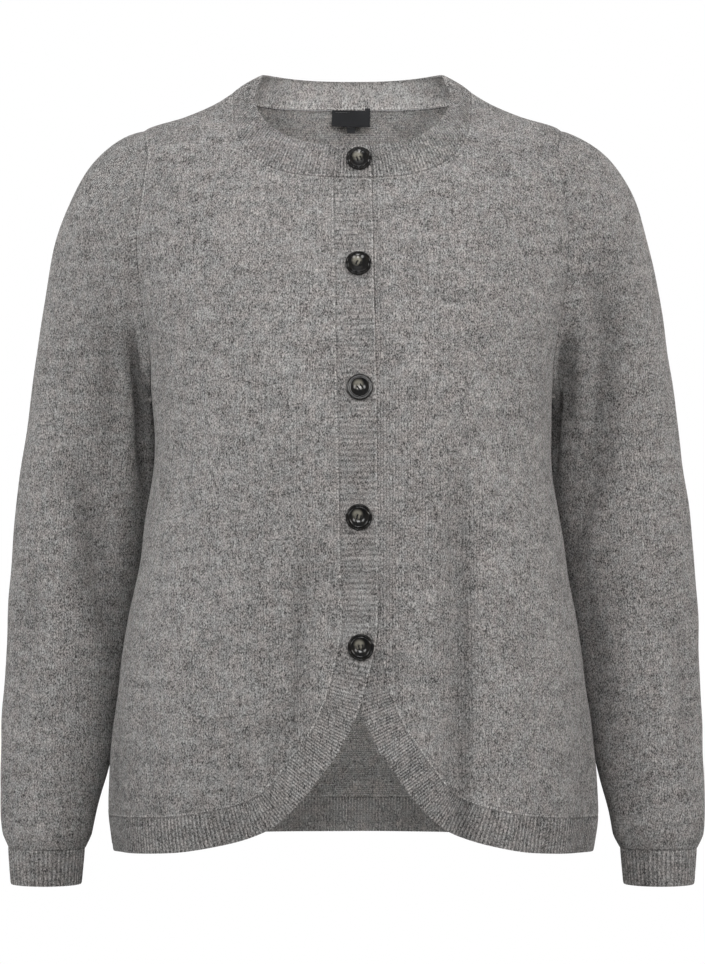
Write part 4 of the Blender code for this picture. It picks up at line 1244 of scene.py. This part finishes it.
def button_pattern():
    """The finished button at the origin, with its holes and threads."""
    thing = turned_button()
    cutter = button_holes()
    cut = thing.modifiers.new("holes", "BOOLEAN")
    cut.operation = "DIFFERENCE"
    cut.solver = "EXACT"
    cut.object = cutter
    apply_modifiers(thing)
    bpy.data.objects.remove(cutter)
    thing.data.materials.clear()
    thing.data.materials.append(HORN)
    thing.data.polygons.foreach_set("material_index", [0] * len(thing.data.polygons))
    thing.data.shade_smooth()
    thing.data.set_sharp_from_angle(angle=math.radians(BUTTON_SMOOTH_ANGLE))
    threads = button_threads()
    threads.data.materials.append(THREAD)
    threads.data.shade_smooth()
    bpy.ops.object.select_all(action="DESELECT")
    threads.select_set(True)
    thing.select_set(True)
    bpy.context.view_layer.objects.active = thing
    bpy.ops.object.join()
    return thing


def seat_of(node):
    """The seat and outward direction of a button's solid, from its own points."""
    solid = frame["nodes"][node]
    places = np.array([vertex.co for vertex in solid.data.vertices])
    middle = (places.min(axis=0) + places.max(axis=0)) / 2
    _, _, axes = np.linalg.svd(places - places.mean(axis=0), full_matrices=False)
    outward = axes[2] if axes[2][1] < 0 else -axes[2]
    heights = (places - middle) @ outward
    return middle + outward * heights.min(), outward


def place_button(pattern, number, spin):
    seat, outward = seat_of("button_%d" % number)
    thing = pattern.copy()
    thing.data = pattern.data.copy()
    thing.name = "button_%d_horn" % number
    bpy.context.scene.collection.objects.link(thing)
    thing.data.transform(Matrix.Rotation(math.radians(spin), 4, "Z"))
    # The local places are kept after the spin, so the painted reflection stays in the upper left of
    # every dish.
    dish = thing.data.attributes.new("turned", "FLOAT_VECTOR", "POINT")
    places = np.empty(len(thing.data.vertices) * 3, np.float32)
    thing.data.vertices.foreach_get("co", places)
    dish.data.foreach_set("vector", places)
    outward = Vector(outward)
    up = outward.cross(Vector((1, 0, 0))).normalized()
    turn = Matrix((up.cross(outward), up, outward)).transposed().to_4x4()
    thing.data.transform(Matrix.Translation(seat) @ turn)
    return thing


def woven_tape(name, node, tilt, bow, loop=False):
    """A small woven piece in the place of its solid: bowed, tilted and soft-edged."""
    low, high = (corner + Vector(LABEL_SHIFT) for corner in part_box(node))
    middle = (low + high) / 2
    size = high - low
    bpy.ops.object.select_all(action="DESELECT")
    bpy.ops.mesh.primitive_plane_add(size=1, location=middle, rotation=(math.pi / 2, 0, 0))
    thing = bpy.context.object
    thing.name = name
    thing.scale = (size.x, size.z, 1)
    keep_place(thing)
    start_edit()
    bpy.ops.mesh.select_all(action="SELECT")
    bpy.ops.mesh.subdivide(number_cuts=TAPE_CUTS)
    end_edit()
    for vertex in thing.data.vertices:
        across = (vertex.co.x - middle.x) / size.x
        down = (high.z - vertex.co.z) / size.z
        vertex.co.y += bow * (4 * across * across - 1) - TAPE_LIFT * down * down
        if loop:
            vertex.co.y += TAPE_LIFT * math.sin(math.pi * down)
    start_edit()
    bpy.ops.mesh.select_all(action="SELECT")
    bpy.ops.transform.rotate(
        value=math.radians(tilt), orient_axis="Y", center_override=tuple(middle))
    end_edit()
    solid = thing.modifiers.new("thickness", "SOLIDIFY")
    solid.thickness = TAPE_THICKNESS
    solid.offset = 0
    soft = thing.modifiers.new("edges", "BEVEL")
    soft.width = TAPE_THICKNESS / 3
    soft.segments = 2
    apply_modifiers(thing)
    thing.data.shade_smooth()
    thing.data.set_sharp_from_angle(angle=math.radians(CLOTH_SMOOTH_ANGLE))
    thing.data.materials.append(WOVEN)
    return thing


# ------------------------------------------------------------------ finishes
class Number:
    """A socket that takes part in sums."""

    def __init__(self, finish, socket):
        self.finish = finish
        self.socket = socket

    def maths(self, operation, *values):
        return self.finish.node("Math", {"operation": operation}, dict(enumerate(values)))

    def __add__(self, other):
        return self.maths("ADD", self, other)

    def __sub__(self, other):
        return self.maths("SUBTRACT", self, other)

    def __mul__(self, other):
        return self.maths("MULTIPLY", self, other)

    def __truediv__(self, other):
        return self.maths("DIVIDE", self, other)

    def __pow__(self, other):
        return self.maths("POWER", self, other)

    def __radd__(self, other):
        return self.maths("ADD", other, self)

    def __rsub__(self, other):
        return self.maths("SUBTRACT", other, self)

    def __rmul__(self, other):
        return self.maths("MULTIPLY", other, self)

    def __rtruediv__(self, other):
        return self.maths("DIVIDE", other, self)

    def __abs__(self):
        return self.maths("ABSOLUTE", self)

    def fraction(self):
        return self.maths("FRACT", self)

    def sine(self):
        return self.maths("SINE", self * (2 * math.pi))

    def between(self, low, high):
        """0 below low, 1 above high, and smooth on the way."""
        settings = {"interpolation_type": "SMOOTHSTEP"}
        return self.finish.node("MapRange", settings, {"Value": self, "From Min": low, "From Max": high})


class Finish:
    """A material that is made of one Principled BSDF and the nodes before it."""

    def __init__(self, name, roughness, more=None):
        self.material = bpy.data.materials.new(name)
        self.material.use_nodes = True
        self.tree = self.material.node_tree
        self.shader = self.tree.nodes["Principled BSDF"]
        self.shader.inputs["Roughness"].default_value = roughness
        for title, value in (more or {}).items():
            self.shader.inputs[title].default_value = value

    def node(self, kind, settings, inputs, output=0):
        """Add a node, give it its settings and then its inputs, and hand back an output."""
        made = self.tree.nodes.new("ShaderNode" + kind)
        for title, value in settings.items():
            setattr(made, title, value)
        for title, value in inputs.items():
            socket = made.inputs[title]
            if isinstance(value, Number):
                self.tree.links.new(value.socket, socket)
            else:
                socket.default_value = value
        return Number(self, made.outputs[output])

    def link(self, title, value):
        self.tree.links.new(value.socket, self.shader.inputs[title])

    def place(self):
        return self.node("TexCoord", {}, {}, "Object")

    def knit_place(self):
        """Across the wales and along them, in metres."""
        flat = self.node("UVMap", {"uv_map": "knit"}, {})
        return (self.part(flat, 0), self.part(flat, 1))

    def part(self, vector, axis):
        return self.node("SeparateXYZ", {}, {"Vector": vector}, axis)

    def mark(self, title, output="Fac"):
        return self.node("Attribute", {"attribute_name": title}, {}, output)

    def noise(self, place, scale, detail=2.0, roughness=0.5):
        inputs = {"Vector": place, "Scale": scale, "Detail": detail, "Roughness": roughness}
        return self.node("TexNoise", {}, inputs, "Fac")

    def stretched(self, place, x, y, z):
        return self.node("VectorMath", {"operation": "MULTIPLY"}, {0: place, 1: (x, y, z)})

    def shaded(self, colour, amount):
        """A plain colour made darker or lighter by a number."""
        settings = {"operation": "SCALE"}
        return self.node("VectorMath", settings, {0: colour, "Scale": amount})

    def blend(self, share, low, high):
        settings = {"data_type": "RGBA"}
        return self.node("Mix", settings, {0: share, 6: low, 7: high}, 2)

    def relief(self, height, distance, strength=1.0):
        inputs = {"Height": height, "Distance": distance, "Strength": strength}
        self.link("Normal", self.node("Bump", {}, inputs, "Normal"))


def melange(finish, contrast):
    """Light and dark fibres twisted together, as a number near 1."""
    place = finish.stretched(finish.place(), *FLECK_STRETCH)
    flecks = finish.noise(place, FLECK_SCALE, 2.0, 0.65)
    tufts = finish.noise(place, TUFT_SCALE, 2.0)
    clouds = finish.noise(finish.stretched(finish.place(), *CLOUD_STRETCH), CLOUD_SCALE, 2.0)
    shade = FLECK_DEPTH * (flecks - 0.5) + TUFT_DEPTH * (tufts - 0.5) + CLOUD_DEPTH * (clouds - 0.5)
    shade = 1.0 + contrast * shade
    return finish.node("Math", {"operation": "MAXIMUM"}, {0: shade, 1: DARKEST_FIBRE}), flecks, tufts


def yarn_tone(finish):
    """The yarn's cool and warm tones, in soft patches."""
    return finish.blend(finish.noise(finish.place(), TONE_SCALE).between(0.3, 0.7), YARN_COOL, YARN_WARM)


def linking(finish):
    """The light chain of linking stitches along a seam, and the groove under it, for bump and painted
    shade.
    """
    distance, run, shown = (finish.mark(title) for title in ("seam", "run", "shown"))
    groove = 1.0 - distance.between(0.0, SEAM_GROOVE)
    near = 1.0 - abs(distance - CHAIN_OFFSET).between(CHAIN_WIDTH * 0.5, CHAIN_WIDTH)
    link = abs((run / CHAIN_PITCH).fraction() - 0.5).between(*CHAIN_GAP)
    chain = near * (1.0 - link) * shown
    return groove, chain


def lapping(finish):
    """Painted highlight along the upper layer's free edge, and painted shadow beside it on the layer
    below.
    """
    past = finish.mark("lap")
    shade = past.between(0.0, LAP_SHADOW * 0.1) * (1.0 - past.between(LAP_SHADOW * 0.2, LAP_SHADOW))
    rim = past.between(-RIM_WIDTH, -RIM_WIDTH * 0.5) * (1.0 - past.between(-RIM_WIDTH * 0.1, 0.0))
    return PAINTED_RIM_HIGHLIGHT * rim - LAP_SHADE * shade


def inner_shade(finish):
    """Painted shade: the inside is darker between the neck and the hem."""
    height = finish.part(finish.place(), 2)
    deep = (1.0 - height.between(*INNER_SHADE_TOP)) * height.between(*INNER_SHADE_END)
    return 1.0 - INNER_SHADE * deep


def low_ribs(finish, loops):
    """Painted shade in the bands' rib furrows grows stronger round the cutaway and along the hem."""
    height = finish.part(finish.place(), 2)
    return LOW_RIB_PAINTED_SHADE * (1.0 - height.between(*LOW_RIB_HEIGHTS)) * (loops - RIB_MEAN)


def cloth_finish(name, stitch, shade=1.0, relief=JERSEY_RELIEF, loop_shade=LOOP_SHADE,
                 inside=False, extra=None):
    """Brushed melange wool; stitch gives its loops, which also set painted shade in their furrows, and
    extra deepens that painted shade in places.
    """
    finish = Finish(name, CLOTH_ROUGHNESS, CLOTH_SHEEN)
    fibres, flecks, tufts = melange(finish, INSIDE_CONTRAST if inside else 1.0)
    loops = stitch(finish)
    groove, chain = linking(finish)
    # Painted shade in the loops' furrows and in the seam groove, and the light linking stitches.
    depth = 1.0 - loop_shade * (1.0 - loops) - GROOVE_SHADE * groove + CHAIN_SHADE * chain
    if extra:
        depth = depth + extra(finish, loops)
    # Painted highlight and shadow at the lapped free edge, then painted shade in fold troughs and
    # painted light on fold ridges.
    depth = (depth + lapping(finish)) * (1.0 + CREASE_SHADE * finish.mark("crease"))
    amount = fibres * depth * shade
    # Painted shade on the inside between the neck and the hem.
    if inside:
        amount = amount * inner_shade(finish)
    finish.link("Base Color", finish.shaded(yarn_tone(finish), amount))
    height = loops + FUZZ_HEIGHT * flecks + TUFT_HEIGHT * tufts
    finish.relief(height + CHAIN_HEIGHT * chain - GROOVE_HEIGHT * groove, relief)
    return finish.material


def jersey_loops(finish):
    """Plain knit from the front: columns of V's."""
    across, up = finish.knit_place()
    column = abs((across / WALE).fraction() - 0.5) * 2.0
    leg = 1.0 - 0.85 * column.between(0.45, 1.0) - 0.2 * (1.0 - column.between(0.0, 0.3))
    slant = (up / COURSE + column * 0.45).sine()
    return leg * (1.0 - COURSE_SHADE + COURSE_SHADE * slant)


def purl_loops(finish):
    """Plain knit from inside: rows of small arcs."""
    across, up = finish.knit_place()
    arc = abs((across / WALE).fraction() - 0.5)
    row = (up / COURSE + arc * 0.5).sine()
    return 0.5 + 0.5 * row


def rib_loops(finish):
    """One-by-one rib: a column of V's on each ridge, purl rows in the furrows."""
    across, up = finish.knit_place()
    column = abs((across / RIB_PITCH).fraction() - 0.5) * 2.0
    ridge = 1.0 - column.between(0.25, 0.85)
    slant = (up / COURSE + column * 0.8).sine() * COURSE_SHADE
    return ridge * (0.95 + slant) + (1.0 - ridge) * (0.05 + slant)


def woven_finish():
    """Dense black tape with a faint weave."""
    finish = Finish("black_tape", 0.6, {"Sheen Weight": 0.1})
    place = finish.place()
    x, z = finish.part(place, 0), finish.part(place, 2)
    weave = (x / TAPE_THREAD).sine() * (z / TAPE_THREAD).sine()
    spread = finish.noise(place, TAPE_CLOUD_SCALE)
    amount = 0.9 + 0.25 * weave + 0.5 * (spread - 0.5)
    finish.link("Base Color", finish.shaded(TAPE_BLACK, amount))
    finish.relief(weave, 0.00008)
    return finish.material


def horn_finish():
    """Near-black resin streaked like horn, with a painted reflection of the lamps in the upper left of
    the dish, broken up by the horn's beige clouds.
    """
    finish = Finish("dark_horn", 0.13, {"Specular IOR Level": 0.28})
    local = finish.mark("turned", "Vector")
    x, y = finish.part(local, 0), finish.part(local, 1)
    clouds = finish.noise(local, HORN_CLOUD_SCALE, 3.0, 0.6)
    streaks = finish.noise(finish.stretched(local, 1.0, 0.35, 1.0), HORN_STREAK_SCALE, 4.0, 0.65)
    away = ((x - REFLECTION_MIDDLE[0]) ** 2 + (y - REFLECTION_MIDDLE[1]) ** 2) ** 0.5
    # Painted reflection in the upper left of the dish, broken up by the horn's clouds.
    pale = (1.0 - away.between(REFLECTION_REACH * 0.4, REFLECTION_REACH)) * clouds.between(0.20, 0.55)
    dark = finish.blend(streaks.between(0.4, 0.7), HORN_BLACK, HORN_BROWN)
    finish.link("Base Color", finish.blend(pale, dark, HORN_AND_REFLECTION_BEIGE))
    finish.relief(streaks, 0.00005, 0.5)
    return finish.material


def thread_finish():
    finish = Finish("sewing_thread", 0.7, {"Specular IOR Level": 0.2})
    place = finish.place()
    ply = finish.noise(place, THREAD_SCALE)
    finish.link("Base Color", finish.shaded(THREAD_BLACK, 0.6 + ply))
    finish.relief(ply, 0.0001)
    return finish.material


def floor_finish():
    finish = Finish("pale_floor", 0.9)
    cloud = finish.noise(finish.place(), 1.5, 3.0)
    finish.link("Base Color", finish.shaded(FLOOR_PALE, 0.98 + 0.04 * cloud))
    return finish.material


JERSEY = cloth_finish("grey_jersey", jersey_loops)
# The inside finishes carry painted light: they are painted lighter than the same yarn outside.
PURL = cloth_finish("grey_purl", purl_loops, INSIDE_PAINTED_LIGHT, PURL_RELIEF, inside=True)
RIB = cloth_finish("grey_rib", rib_loops, RIB_SHADE, RIB_RELIEF, RIB_LOOP_SHADE)
BAND_RIB = cloth_finish("grey_band_rib", rib_loops, BAND_SHADE, BAND_RELIEF, BAND_LOOP_SHADE,
                        extra=low_ribs)
RIB_INSIDE = cloth_finish("grey_rib_inside", rib_loops, RIB_INSIDE_PAINTED_LIGHT, RIB_RELIEF,
                          INSIDE_LOOP_SHADE, inside=True)
NECK_INSIDE = cloth_finish("grey_neck_inside", rib_loops, NECK_INSIDE_PAINTED_LIGHT, RIB_RELIEF,
                           NECK_LOOP_SHADE, inside=True)
WOVEN = woven_finish()
HORN = horn_finish()
THREAD = thread_finish()


# ------------------------------------------------------------------ stage
def lamp(row, aim=AIM):
    data = bpy.data.lights.new(row.name, "AREA")
    data.shape = "DISK"
    data.size = row.size
    data.energy = row.power
    data.spread = math.radians(row.spread)
    data.color = row.colour
    thing = bpy.data.objects.new(row.name, data)
    thing.location = row.place
    thing.rotation_euler = (Vector(aim) - Vector(row.place)).to_track_quat("-Z", "Y").to_euler()
    bpy.context.scene.collection.objects.link(thing)
    return thing


def studio():
    for row in LAMPS:
        lamp(row)
    for row, aim in ((HEM_FILL, HEM_FILL_AIM), (NECK_FILL, NECK_FILL_AIM)):
        lamp(row, aim).visible_camera = False
    world = bpy.data.worlds.new("white_studio")
    world.use_nodes = True
    tree = world.node_tree
    shown = tree.nodes["Background"]
    shown.inputs["Color"].default_value = (1, 1, 1, 1)
    shown.inputs["Strength"].default_value = BACKDROP_STRENGTH
    filling = tree.nodes.new("ShaderNodeBackground")
    filling.inputs["Color"].default_value = WORLD_COLOUR
    filling.inputs["Strength"].default_value = WORLD_STRENGTH
    seen = tree.nodes.new("ShaderNodeLightPath")
    chosen = tree.nodes.new("ShaderNodeMixShader")
    tree.links.new(seen.outputs["Is Camera Ray"], chosen.inputs[0])
    tree.links.new(filling.outputs[0], chosen.inputs[1])
    tree.links.new(shown.outputs[0], chosen.inputs[2])
    tree.links.new(chosen.outputs[0], tree.nodes["World Output"].inputs[0])
    bpy.context.scene.world = world


def floor():
    bpy.ops.object.select_all(action="DESELECT")
    bpy.ops.mesh.primitive_plane_add(size=FLOOR_SIZE, location=(0, 0, FLOOR_HEIGHT))
    thing = bpy.context.object
    thing.name = "studio_floor"
    keep_place(thing)
    thing.data.materials.append(floor_finish())


def camera():
    data = bpy.data.cameras.new("front_view")
    data.sensor_fit = "VERTICAL"
    data.lens = data.sensor_height * CAMERA_DISTANCE / VIEW_HEIGHT
    thing = bpy.data.objects.new("front_view", data)
    thing.location = (0, -CAMERA_DISTANCE, CAMERA_LEVEL)
    thing.rotation_euler = (math.pi / 2, 0, 0)
    bpy.context.scene.collection.objects.link(thing)
    bpy.context.scene.camera = thing
    bpy.context.scene.view_settings.view_transform = "Standard"


# ------------------------------------------------------------------ the cardigan
def wear(thing, slot, *nodes):
    """Ride on the one body and stand for the solids."""
    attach(thing, "root")
    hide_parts(*nodes)


def cut(thing, flat, area, held, rests_on=(), **more):
    """Takes the flat piece that a cloth was cut or knitted as, and does nothing with it."""


def dress():
    panels = {"back": back_panel(), "hem_back": back_hem(), "neckband": neckband()}
    for side, word in SIDE_NAMES.items():
        panels["front_" + word] = front_panel(side)
        panels["band_" + word] = front_band(side)
        panels["sleeve_" + word] = sleeve(side)
        panels["cuff_" + word] = cuff(side)
    for node, thing in panels.items():
        plain = node.split("_")[0] in ("back", "front", "sleeve")
        wear(thing, "grey_knit" if plain else "grey_rib", node)
        piece = CUT[node.rsplit("_", 1)[0] if node[-5:] in ("right", "_left") else node]
        cut(thing, (piece.width, piece.length), piece.area, piece.held)
    pattern = button_pattern()
    for number, spin in enumerate(BUTTON_SPINS, 1):
        wear(place_button(pattern, number, spin), "dark_horn", "button_%d" % number)
    bpy.data.objects.remove(pattern)
    label = woven_tape("neck_label", "label", LABEL_TILT, LABEL_BOW)
    tag = woven_tape("size_loop", "size_tag", LABEL_TILT, 0.0, loop=True)
    wear(label, "black_woven", "label")
    wear(tag, "black_woven", "size_tag")
    cut(label, LABEL_CUT, None, "hung", with_pieces=[tag])


dress()
floor()
studio()
camera()
